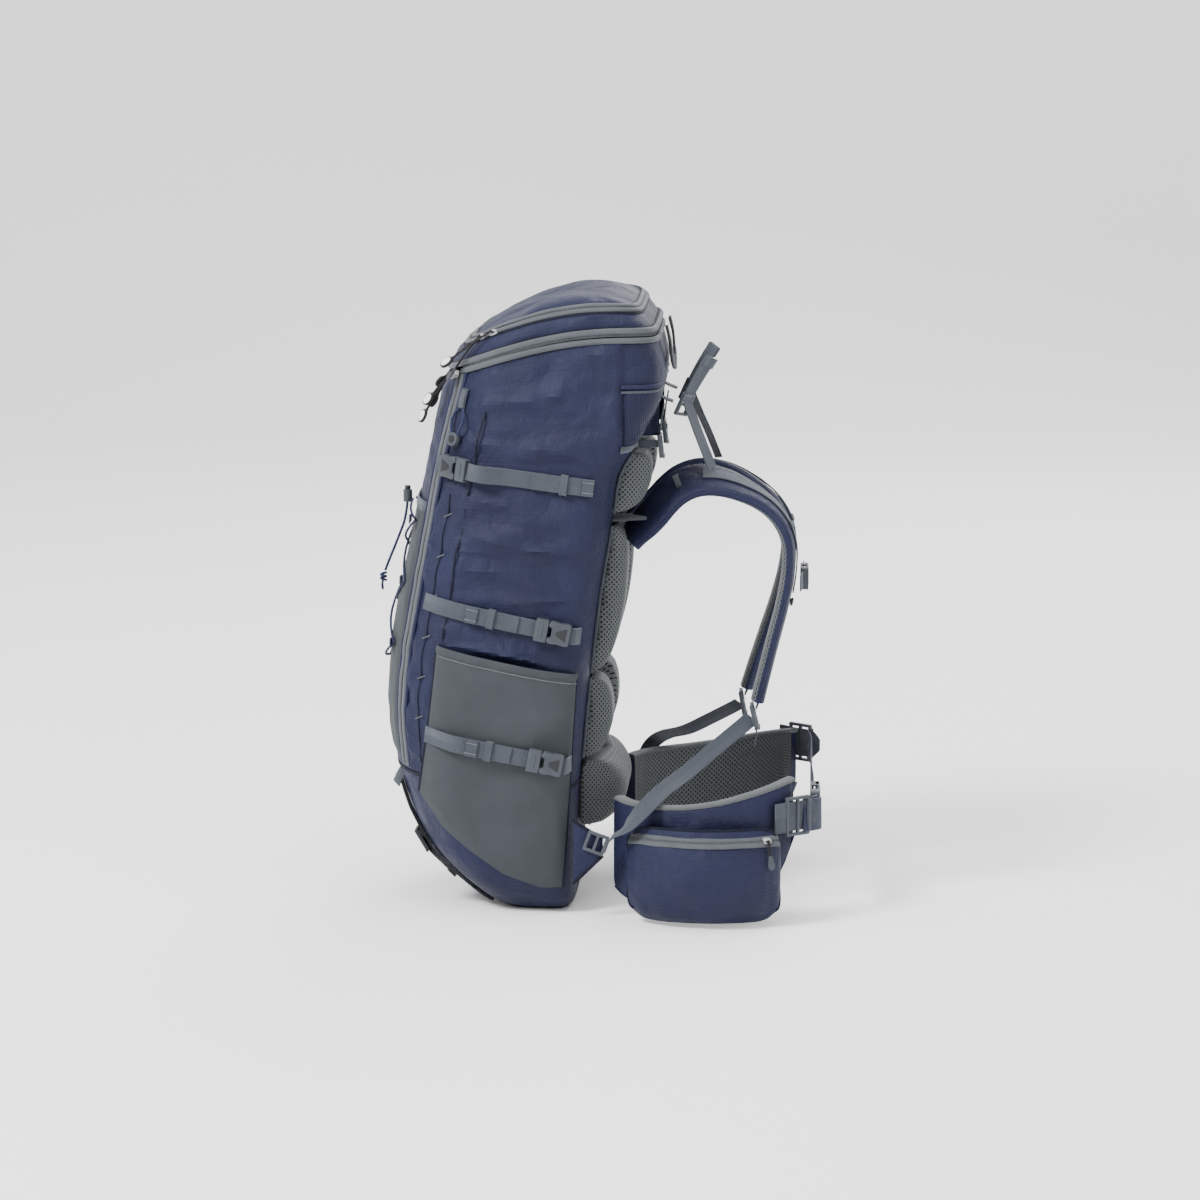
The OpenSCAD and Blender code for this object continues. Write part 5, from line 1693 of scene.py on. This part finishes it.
class BACKPACK_OT_back_padding(Piecework, bpy.types.Operator):
    """Spacer mesh pads on the back panel and the lumbar pad"""
    bl_idname = "backpack.back_padding"
    bl_label = "Back Padding"

    def build(self):
        shrink = 3.5

        def pads(side, mirror):
            for count, (low, high, bulge) in enumerate(((478, 540, 34), (286, 454, 25), (184, 272, 27))):
                piece = Piece()
                pad_form(piece, low, high, bulge, 66, -66, mesh_on_pads, shrink)
                made = piece.make(f"back_pad_{side}_{count + 1}", None, "mesh_pad", (), mirror)
                swell(made, 0.007)
                settle(made, "bag", [f"back_pads_{side}"] if count == 0 else ())
                trim = Piece()
                z = np.linspace(low - 4, high + 4, 40)
                for edge in (-98.6, -33.4):
                    run = np.column_stack([back_x(z) + 2.6, np.full(40, edge), z])
                    trim.band(run, (1, 0, 0), oval(3.4, 3.4), grey_webbing)
                trim.make(f"back_pad_{side}_{count + 1}_piping", "bag", "grey_webbing", (), mirror)
        both_sides(pads)
        piece = Piece()
        pad_form(piece, 100, 172, 50, 196, 0, mesh_on_pads, shrink)
        made = piece.make("lumbar_cushion", None, "mesh_pad")
        swell(made, 0.008)
        settle(made, "bag", ["lumbar_pad"])


class BACKPACK_OT_frame(Piecework, bpy.types.Operator):
    """Water bag sleeve inside, and finishes for the frame sheet, stays and cord lock button"""
    bl_idname = "backpack.frame"
    bl_label = "Frame"

    def build(self):
        z = np.linspace(60, 540, 90)
        u = np.linspace(-1, 1, 40)
        grid_u, grid_z = np.meshgrid(u, z)
        spare = WALL + 1.5 + 3 + 4
        folds = ripple(np.stack([grid_u * 0, grid_u * 92, grid_z], -1), 70, 3) * 0.5
        x = back_x(grid_z) - spare - 22 * (1 - grid_u ** 2) + folds
        outer = np.stack([x, grid_u * 92, grid_z], axis=-1)
        piece = Piece()
        piece.shell(outer, outer + (1.2, 0, 0), nylon_lining, nylon_lining)
        piece.band(outer[-1] + (0.6, 0, -4), (-1, 0, 0), oval(10, 2.8), grey_webbing)
        piece.make("water_bag_sleeve", "bag", "lining_fabric", ["hydration_sleeve"])
        for node, material in (("frame_sheet", sheet_plastic), ("frame_stays", stay_metal),
                               ("lace_lock_plunger", black_acetal)):
            mesh = bpy.data.objects[node].data
            mesh.materials.clear()
            mesh.materials.append(material())


# Harness -------------------------------------------------------------------------------------

STRAP_ROUTE = ((31, 437), (43, 451), (60, 469), (72, 484), (87, 498), (107, 507), (130, 508), (156, 501),
               (186, 485), (207, 463), (218, 435), (218, 400), (211, 360), (201, 320), (191, 280), (183, 246))
STRAP_OFFSET = 66
LOWER_ROUTE = ((176, -66, 224), (166, -73, 216), (138, -96, 196), (104, -130, 172), (74, -172, 156),
               (54, -197, 140), (34, -194, 118), (14, -178, 100))
LIFTER_ROUTE = ((128, 523), (118, 548), (106, 580), (99, 603), (108, 624), (126, 654))
LEFT_SAG = 4
PIVOT = np.array([58.0, 0, 462])


def sagging(points, mirror, share=1.0):
    """The left strap hangs a little lower: its points turned about the strap's top end."""
    points = np.asarray(points, float)
    if not mirror:
        return points
    angle = np.radians(LEFT_SAG * np.asarray(share, float))
    d = points - PIVOT
    return PIVOT + np.stack([d[..., 0] * np.cos(angle) + d[..., 2] * np.sin(angle), d[..., 1],
                             d[..., 2] * np.cos(angle) - d[..., 0] * np.sin(angle)], axis=-1)


class BACKPACK_OT_harness(Piecework, bpy.types.Operator):
    """Shoulder straps with their webbing, locks and anchors"""
    bl_idname = "backpack.harness"
    bl_label = "Harness"

    def build(self):
        def strap(side, mirror):
            centre = np.array([(x, -STRAP_OFFSET, z) for x, z in STRAP_ROUTE], float)
            line = sagging(spread(smooth(centre, 6), 4), mirror)
            along = unit(np.gradient(line, axis=0))
            out = np.cross(along, np.array([0, 1.0, 0])) * -1
            if out[len(out) // 2][0] < 0:
                out = -out
            count = np.arange(len(line))[:, None]
            roll = np.radians(28) * (1 - rise(count, 18, 62))
            out = unit(out * np.cos(roll) + np.array([0, -1.0, 0]) * np.sin(roll))
            width = 62 + 1.5 * ripple(line, 90, 5)
            shape = oval(62, 16.4, 28, 3.0)
            grow = width / 62 * (0.8 + 0.2 * rise(np.arange(len(line)), 0, 8)) \
                * (0.72 + 0.28 * rise(len(line) - np.arange(len(line)), 0, 12))
            pad = Piece()
            pad.band(line, out, shape, navy_nylon, widths=grow, under=mesh_on_cloth)
            made = pad.make(f"shoulder_pad_{side}_body", f"shoulder_{side}", "mesh_pad",
                            [f"shoulder_pad_{side}"], mirror, sharp=60)
            trim = Piece()
            across = np.cross(along, out)
            for s in (-1, 1):
                run = line + across * (s * 31.2 * grow)[:, None]
                trim.band(run, out, oval(3.2, 5.2), navy_nylon)
            for at in (22, 58, 80):
                if at < len(line) - 3:
                    c, n, a = line[at], out[at], across[at]
                    ring = [c + a * u + n * h for u, h in (
                        (-11.5, 8.4), (-12, 10.4), (-6, 11.6), (0, 11.9), (6, 11.6), (12, 10.4), (11.5, 8.4))]
                    trim.band(np.array(ring), n, strip(7, 1.4), grey_webbing)
            trim.make(f"shoulder_pad_{side}_edging", f"shoulder_{side}", "navy_fabric", (), mirror)

            gear = Piece()
            end = sagging(np.array([183 - 4, -STRAP_OFFSET, 246 - 20.0]), mirror)
            tilt = 76 + (LEFT_SAG if mirror else 0)
            ladder_lock(gear, moved(*end) @ turned("Y", tilt), WEBBING_WIDE, 30)
            first, last = int(len(line) * 0.26), int(len(line) * 0.7)
            face = line[first:last] + out[first:last] * 9.6
            webbing(gear, face[::4], out[first:last], WEBBING_WIDE, grey_webbing, 1.7, 3)
            lead = np.array([line[-3] + out[-3] * 4, line[-1] + along[-1] * 4 + out[-1] * 1.5,
                             end + (along[-1] * -10)])
            webbing(gear, lead, out[-1], WEBBING_WIDE, grey_webbing)
            gear.make(f"shoulder_gear_{side}", f"shoulder_{side}", "dark_plastic",
                      [f"shoulder_hardware_{side}"], mirror)

            last = len(LOWER_ROUTE) - 1
            route = sagging(LOWER_ROUTE, mirror, [1 if i < 2 else 1 - i / last for i in range(last + 1)])
            lower = Piece()
            webbing(lower, route, unit(np.array([0.3, -0.5, 0.8])), 20, grey_webbing, 1.7, 6)
            tail = [route[0] + (2, 0, -4), route[0] + (6, 0, -16), route[0] + (4, 2, -34)]
            webbing(lower, tail, (1, 0, 0), 16, grey_webbing, 1.6)
            lower.make(f"lower_strap_{side}", None, "grey_webbing", [f"harness_webbing_{side}"], mirror,
                       blend=("bag", f"shoulder_{side}", mirrored((14, -178, 100), mirror),
                              mirrored((170, -70, 220), mirror)))
            last = len(LIFTER_ROUTE) - 1
            route = np.array([(x, -STRAP_OFFSET, z) for x, z in LIFTER_ROUTE], float)
            route = sagging(route, mirror, [max(0, 1 - i / 2) for i in range(last + 1)])
            lifter = Piece()
            facing = unit(np.array([(0.85, -0.45, 0.25)] * 4 + [(0.78, -0.58, 0.0), (0.75, -0.64, -0.1)]))
            run = webbing(lifter, route, facing, WEBBING_WIDE, grey_webbing, 1.7, 6)
            folded_end(lifter, run, facing[-1], WEBBING_WIDE, grey_webbing, 2, 1.4)
            lifter.make(f"load_lifter_{side}", None, "grey_webbing", (), mirror,
                        blend=("bag", f"shoulder_{side}", mirrored((99, -66, 603), mirror),
                               mirrored((126, -66, 530), mirror)))
        both_sides(strap)

        anchors, locks = Piece(), Piece()
        for s in (-1, 1):
            y = s * STRAP_OFFSET
            x = float(back_x(463))
            webbing(anchors, [(x + 1, y, 463), (30, y, 464), (51, y, 465)], (0, 0, 1), 50, grey_webbing, 2)
            webbing(anchors, [(68, y, 608), (74, y, 605), (82, y, 602)], (0.4, 0, 1), WEBBING_WIDE,
                    grey_webbing)
            webbing(anchors, [(71, y, 598), (68, y, 580), (66.5, y, 566)], (1, 0, 0), WEBBING_WIDE,
                    grey_webbing)
            ladder_lock(locks, moved(95, y, 598) @ turned("Y", -66) @ turned("X", s * 26), WEBBING_WIDE, 28)
            ladder_lock(locks, moved(67, y, 550) @ turned("Y", 84), WEBBING_WIDE, 28)
        anchors.make("strap_anchor_webbing", "bag", "grey_webbing", ["strap_anchors"])
        locks.make("load_lifter_locks", "bag", "dark_plastic", ["lifter_locks"])

        piece = Piece()
        hang = [(73, -50, 690), (77, -50, 672), (79, -41, 654), (81, -25, 644), (82, 0, 641),
                (81, 25, 644), (79, 41, 654), (77, 50, 672), (73, 50, 690)]
        webbing(piece, hang, (1, 0, 0), 17, black_webbing, 3.2, 6)
        piece.make("haul_handle", "haul_loop", "black_webbing", ["haul_loop"])

        for name, body in (("sternum_socket", "shoulder_right"), ("sternum_clip", "sternum_clip")):
            place = frame_of((232, -8, 386), (0, 1, 0), (1, 0, 0))
            piece = Piece()
            if name == "sternum_socket":
                socket_body(piece, place, WEBBING_WIDE, BUCKLE_LONG, 10)
                route = [(-57, 0, 0.9), (-44, 0, 1.6), (-25, 0, 3.2)]
            else:
                clip_body(piece, place, WEBBING_WIDE, BUCKLE_LONG, 10)
                route = [(8, 0, 3.3), (26, 0, 3.3), (52, 0, 3.3)]
            webbing(piece, placed(route, place), (1, 0, 0), WEBBING_WIDE, grey_webbing)
            piece.make(f"{name}_buckle", body, "dark_plastic", [name])


def mirrored(point, mirror):
    x, y, z = point
    return (x * MM, (-y if mirror else y) * MM, z * MM)


# Hip belt ------------------------------------------------------------------------------------

WING = ((22, -124, 30, 138), (34, -150, 24, 138), (62, -176, 16, 138), (100, -190, 14, 140),
        (140, -192, 16, 146), (180, -182, 26, 156), (206, -166, 52, 163), (224, -148, 100, 168))
BELT_THICK = 16
HIP_BUCKLE = (246, -62, 120)
HIP_LONG = 62


def wing_line(k):
    """Plan point, direction out and lower and upper edge along the wing at k from 0 to 7."""
    table = np.array(WING, float)
    index = np.arange(len(table))
    columns = [np.interp(k, index, table[:, c]) for c in range(4)]
    soft = [sum(w * np.interp(np.clip(k + s, 0, 7), index, table[:, c])
                for s, w in ((-0.35, 0.25), (0, 0.5), (0.35, 0.25))) for c in range(4)]
    ends = np.minimum(rise(k, 0, 0.5), 1 - rise(k, 6.5, 7))
    x, y, low, high = [a * (1 - ends) + b * ends for a, b in zip(columns, soft)]
    run = unit(np.stack([np.gradient(x), np.gradient(y), x * 0], axis=-1))
    out = np.stack([run[..., 1], -run[..., 0], x * 0], axis=-1)
    return np.stack([x, y, x * 0], axis=-1), out, low, high


class BACKPACK_OT_hip_belt(Piecework, bpy.types.Operator):
    """Padded hip wings with their pockets, webbing, locks and buckle"""
    bl_idname = "backpack.hip_belt"
    bl_label = "Hip Belt"

    def build(self):
        def wing(side, mirror):
            k = np.linspace(0, 7, 84)
            plan, out, low, high = wing_line(k)
            turn = np.linspace(0, 2 * math.pi, 40, endpoint=False)
            rings = []
            for i in range(len(k)):
                half = (high[i] - low[i]) / 2
                middle = (high[i] + low[i]) / 2
                taper = float(min(1, 0.55 + 0.45 * rise(7 - k[i], 0, 0.35)))
                a = signed_power(np.cos(turn), 2 / 5) * BELT_THICK / 2 * 0.97 * taper
                b = signed_power(np.sin(turn), 2 / 9) * half
                rings.append(plan[i] + out[i] * a[:, None] + np.array([0, 0, 1.0]) * (middle + b)[:, None])
            rings = np.array(rings)
            piece = Piece()
            first = list(range(30, 40)) + list(range(0, 11))
            piece.grid(rings[:, first], navy_nylon, back=True)
            piece.grid(rings[:, 10:31], mesh_on_cloth, back=True)
            for end in (0, -1):
                middle = rings[end].mean(axis=0)
                piece.grid(np.array([rings[end], middle + (rings[end] - middle) * 0.5,
                                     middle + (rings[end] - middle) * 0.02]), navy_nylon, wrap=True,
                           back=end != 0)
            made = piece.make(f"hip_wing_{side}", f"hip_{side}", "mesh_pad", [f"hip_pad_{side}"], mirror,
                              sharp=70)
            trim = Piece()
            top = plan + np.array([0, 0, 1.0]) * (high - 0.8)[:, None]
            foot = plan + np.array([0, 0, 1.0]) * (low + 0.8)[:, None]
            trim.band(top, (0, 0, 1), oval(15, 6.4, 14, 2.4), plain_knit)
            trim.band(foot, (0, 0, -1), oval(14, 4.4, 14, 2.4), navy_nylon)
            trim.make(f"hip_wing_{side}_edging", f"hip_{side}", "navy_fabric", (), mirror)

            u = np.linspace(0.0, 1.0, 56)
            h = np.linspace(0.0, 1.0, 34)
            k = 1.3 + (6 - 1.3) * u
            plan, out, low, high = wing_line(k)
            grid_u, grid_h = np.meshgrid(u, h)
            a, b = 2 * grid_u - 1, 2 * grid_h - 1
            grid_u = 0.5 + a * (1 - 0.15 * abs(b) ** 5 * abs(a) ** 2) / 2
            grid_h = 0.5 + b * (1 - 0.24 * abs(a) ** 7 * abs(b) ** 2) / 2
            puffed = 0.6 + 29 * np.sin(math.pi * np.clip(grid_u, 0, 1)) ** 0.45 * np.sin(
                math.radians(162) * grid_h) ** 0.6
            middle = np.minimum(rise(grid_u, 0, 0.1), 1 - rise(grid_u, 0.9, 1)) * np.minimum(
                rise(grid_h, 0, 0.12), 1 - rise(grid_h, 0.9, 1))
            plan, out, low, high = wing_line(1.3 + 4.7 * np.linspace(0, 1, 400))
            index = grid_u * 399
            plan = np.stack([np.interp(index, np.arange(400), plan[:, c]) for c in range(3)], axis=-1)
            out = np.stack([np.interp(index, np.arange(400), out[:, c]) for c in range(3)], axis=-1)
            p0 = plan + np.array([0, 0, 1.0]) * (4 + 114 * grid_h)[..., None]
            folds = ripple(p0, 48, 91, (1.2, 1, 0.9)) * 1.5 + 0.7 * ripple(p0, 24, 92)
            zip_dip = 1.6 * hump((grid_h - 0.88) * 114, 4.2) * np.minimum(
                rise(grid_u, 0.03, 0.1), 1 - rise(grid_u, 0.9, 0.97))
            off = BELT_THICK / 2 + puffed + 0.9 + (folds + 0.4) * middle - zip_dip
            outer, inner = p0 + out * off[..., None], p0 + out * (off - 1.2)[..., None]
            out = out[len(h) // 2]
            pocket = Piece()
            pocket.shell(outer, inner, navy_nylon, nylon_lining)
            row = int(round(0.88 * 33))
            run = outer[row, 3:-3] + out[3:-3]
            normal = unit(out[3:-3] + (0, 0, 0.8))
            for s in (-1, 1):
                pocket.band(run + (0, 0, s * 3.4) - out[3:-3] * (s * 2.0), normal, oval(6, 3.2), zip_tape)
            coil_line(pocket, run + normal * 0.2, normal, 3.4)
            at = len(run) - 7
            slider(pocket, run[at], normal[at], run[at + 1] - run[at - 1], 0.8)
            start = run[at] + normal[at] * 5
            pull_cord(pocket, start, [start + (2, -5, -10)], start + (4, -4.4, -27),
                      unit(np.array([0.4, -0.9, 0.05])), disc=False)
            piping = np.concatenate([outer[:, 0], outer[-1, 1:-1], outer[::-1, -1]])
            outs = np.concatenate([np.repeat(out[:1], len(h), 0), out[1:-1], np.repeat(out[-1:], len(h), 0)])
            pocket.band(piping, outs, oval(3, 3), seam_painted_shade)
            pocket.make(f"hip_pocket_{side}_cloth", f"hip_{side}", "navy_fabric",
                        [f"hip_pocket_{side}"], mirror)

            gear = Piece()
            lift = 24 if mirror else 0
            place = moved(232, -162, 126 + lift) @ turned("Z", 38) @ turned("X", 90)
            ladder_lock(gear, place, 38, 34, 5)
            tab = placed([(-14, 0, 0), (-24, 0, 1.2), (-34, 0, 2)], place)
            webbing(gear, tab, placed([(0, 0, 1)], place)[0] - placed([(0, 0, 0)], place)[0],
                    36, grey_webbing)
            through = spread(placed([(-20, 0, -0.6), (-8, 0, -1.0), (8, 0, -1.0), (31, 0, -0.6)], place), 2)
            taper = np.clip((len(through) - np.arange(len(through))) / 7, 0, 1) ** 0.5
            gear.band(through, place[:3, 2], strip(35, 2.0), grey_webbing, widths=np.maximum(taper, 0.3))
            gear.make(f"hip_lock_{side}", f"hip_{side}", "dark_plastic", [f"hip_hardware_{side}"], mirror)

        both_sides(wing)

        x, y, _ = HIP_BUCKLE
        long, short = HIP_LONG * SOCKET_SHARE, HIP_LONG * (1 - SOCKET_SHARE)
        place = frame_of(HIP_BUCKLE, (0, 1, 0), (1, 0, 0))
        belt = Piece()
        socket_body(belt, place, 38, HIP_LONG, 12)
        run = webbing(belt, [(239, -158, 126), (250, -145, 124), (259, -126, 122), (257, y - long - 12, 120),
                             (252, y - long + 1, 120)], (1, 0, 0.01), 38, navy_webbing, 1.8, 8)
        webbing(belt, [(238, -146, 126), (247, -134, 125), (254, -118, 124)], (1, -0.3, 0), 36, grey_webbing)
        belt.make("hip_webbing_right", "hip_right", "grey_webbing")
        belt = Piece()
        webbing(belt, [(x + 3.3, y + short / 2, 120), (x + 3.3, y + short + 46, 121), (246, 60, 132),
                       (246, 120, 146), (241, 148, 150)], (1, 0, 0.01), 38, navy_webbing, 1.8, 8)
        belt.make("hip_webbing_left", "hip_left", "grey_webbing")
        clip = Piece()
        clip_body(clip, place, 38, HIP_LONG, 12)
        clip.make("hip_buckle_clip", "hip_clip", "dark_plastic", ["hip_clip"])

        piece = Piece()
        for s in (-1, 1):
            outline = [(-31, 42), (-31, 118), (4, 96), (4, 76)]
            place = moved(0, s * 164, 0) @ turned("X", 90)
            piece.plate(outline, 2.0, navy_nylon, place @ moved(z=-1), 0.6)
            edge = placed([(-31, 118, -s * 1.2), (4, 96, -s * 1.2)], place)
            piece.band(edge, (0, s, 0), oval(4, 2), seam_painted_shade)
            edge = placed([(-31, 42, -s * 1.2), (4, 76, -s * 1.2)], place)
            piece.band(edge, (0, s, 0), oval(4, 2), seam_painted_shade)
            lock = moved(-4, s * 169, 92) @ turned("Y", 20) @ turned("X", 90)
            ladder_lock(piece, lock, 16, 26, 4)
        piece.make("stabilizer_flaps", "bag", "dark_plastic", ["stabilizer_straps"])


# Studio --------------------------------------------------------------------------------------

class BACKPACK_OT_studio(Piecework, bpy.types.Operator):
    """Camera, lights and floor"""
    bl_idname = "backpack.studio"
    bl_label = "Studio"

    def build(self):
        scene = bpy.context.scene
        values = scene.backpack_studio
        aim = Vector((-0.008, 0, 0.353))
        turn, tilt = values.azimuth, values.elevation
        back = Vector((math.sin(turn) * math.cos(tilt), -math.cos(turn) * math.cos(tilt), math.sin(tilt)))
        camera = bpy.data.objects.new("camera", bpy.data.cameras.new("camera"))
        camera.data.lens = values.lens
        camera.location = aim + back * values.distance
        camera.rotation_euler = back.to_track_quat("Z", "Y").to_euler()
        scene.collection.objects.link(camera)
        scene.camera = camera

        for name, place, size, power, aim_at in (
                ("key_light", (-2.6, -2.2, 3.6), 1.5, 330, (0, 0, 0.35)),
                ("fill_light", (3.0, -2.6, 1.8), 3.2, 50, (0, 0, 0.35)),
                ("rim_light", (1.2, 3.2, 2.8), 2.6, 110, (0, 0, 0.4)),
                ("top_light", (0, -0.3, 4.2), 3.6, 90, (0, 0, 0.3))):
            light = bpy.data.lights.new(name, "AREA")
            light.shape, light.size, light.energy = "DISK", size, power * values.brightness
            lamp = bpy.data.objects.new(name, light)
            lamp.location = place
            lamp.rotation_euler = (Vector(place) - Vector(aim_at)).to_track_quat("Z", "Y").to_euler()
            scene.collection.objects.link(lamp)

        world = bpy.data.worlds.new("studio")
        world.use_nodes = True
        world.node_tree.nodes["Background"].inputs["Color"].default_value = (1, 1, 1, 1)
        world.node_tree.nodes["Background"].inputs["Strength"].default_value = 1.05
        scene.world = world

        floor = bpy.data.meshes.new("floor")
        run = [(9, 0.0)] + [(-4.0 - 2.2 * math.sin(a), 2.2 - 2.2 * math.cos(a))
                            for a in np.linspace(0, math.pi / 2, 14)] + [(-6.2, 8)]
        lift = -0.0006
        points = [(x, -y, z + lift) for x in (-9, 9) for y, z in run]
        count = len(run)
        floor.from_pydata(points, [], [(i, i + 1, count + i + 1, count + i) for i in range(count - 1)])
        floor.polygons.foreach_set("use_smooth", [True] * (count - 1))
        floor.materials.append(floor_paint())
        sweep = bpy.data.objects.new("floor", floor)
        scene.collection.objects.link(sweep)


class BACKPACK_OT_lacing_tail(Piecework, bpy.types.Operator):
    """Loose end of the lacing cord with its knot"""
    bl_idname = "backpack.lacing_tail"
    bl_label = "Lacing Tail"

    def build(self):
        route = [(-239, 0, 471), (-240, 0, 462), (-243, 1, 447), (-249, 3, 431), (-255, 5, 416),
                 (-260, 6, 404), (-264, 6, 394), (-267, 5, 386)]
        line = spread(smooth(route, 4), 4)
        piece = Piece()
        piece.tube(line, 3.2, navy_cord, 12)
        made = piece.make("lacing_cord_tail", "front_panel", "cord", ["lace_tail"])
        piece = Piece()
        knot = np.array([-269, 5, 379.0])
        turn = np.linspace(0, 4 * math.pi, 40)
        coil = knot + np.column_stack([3.0 * np.cos(turn), 2.6 * np.sin(turn), np.linspace(4.5, -4.5, 40)])
        piece.tube(coil, 3.2, navy_cord, 8)
        for s in (-1, 1):
            end = smooth([knot + (0, s, -2), knot + (-1.5, s * 2, -9), knot + (-1, s * 3.4, -15)], 4)
            piece.tube(end, 2.6, navy_cord, 8)
            piece.tube(end[-2:] + (0, 0, -1.4), 2.2, cord_core, 8)
        end = piece.make("lacing_tail_knot", "front_panel", "cord")


class BACKPACK_PT_panel(bpy.types.Panel):
    """Sizes, colours and pieces of the backpack"""
    bl_label = "Hiking Backpack"
    bl_idname = "BACKPACK_PT_panel"
    bl_space_type = "VIEW_3D"
    bl_region_type = "UI"
    bl_category = "Backpack"

    def draw(self, context):
        for group in (context.scene.backpack_colours, context.scene.backpack_sizes,
                      context.scene.backpack_studio):
            box = self.layout.box()
            for name in group.bl_rna.properties.keys():
                if name not in ("rna_type", "name"):
                    box.prop(group, name)
        for piece in PIECES:
            self.layout.operator(piece.bl_idname)


PIECES = (BACKPACK_OT_studio, BACKPACK_OT_lacing_tail, BACKPACK_OT_bag_fabric, BACKPACK_OT_lid,
          BACKPACK_OT_zips, BACKPACK_OT_pockets, BACKPACK_OT_lacing, BACKPACK_OT_side_straps,
          BACKPACK_OT_base_straps, BACKPACK_OT_tool_keepers, BACKPACK_OT_back_padding,
          BACKPACK_OT_frame, BACKPACK_OT_harness, BACKPACK_OT_hip_belt)
GROUPS = (("backpack_colours", BackpackColours), ("backpack_sizes", BackpackSizes),
          ("backpack_studio", BackpackStudio))


def register():
    for name, group in GROUPS:
        bpy.utils.register_class(group)
        setattr(bpy.types.Scene, name, PointerProperty(type=group))
    for piece in (*PIECES, BACKPACK_PT_panel):
        bpy.utils.register_class(piece)


def unregister():
    for piece in (BACKPACK_PT_panel, *reversed(PIECES)):
        bpy.utils.unregister_class(piece)
    for name, group in reversed(GROUPS):
        delattr(bpy.types.Scene, name)
        bpy.utils.unregister_class(group)


def main():
    register()
    for piece in PIECES:
        group, name = piece.bl_idname.split(".")
        getattr(getattr(bpy.ops, group), name)()
    bpy.context.view_layer.update()


if __name__ == "__main__":
    main()
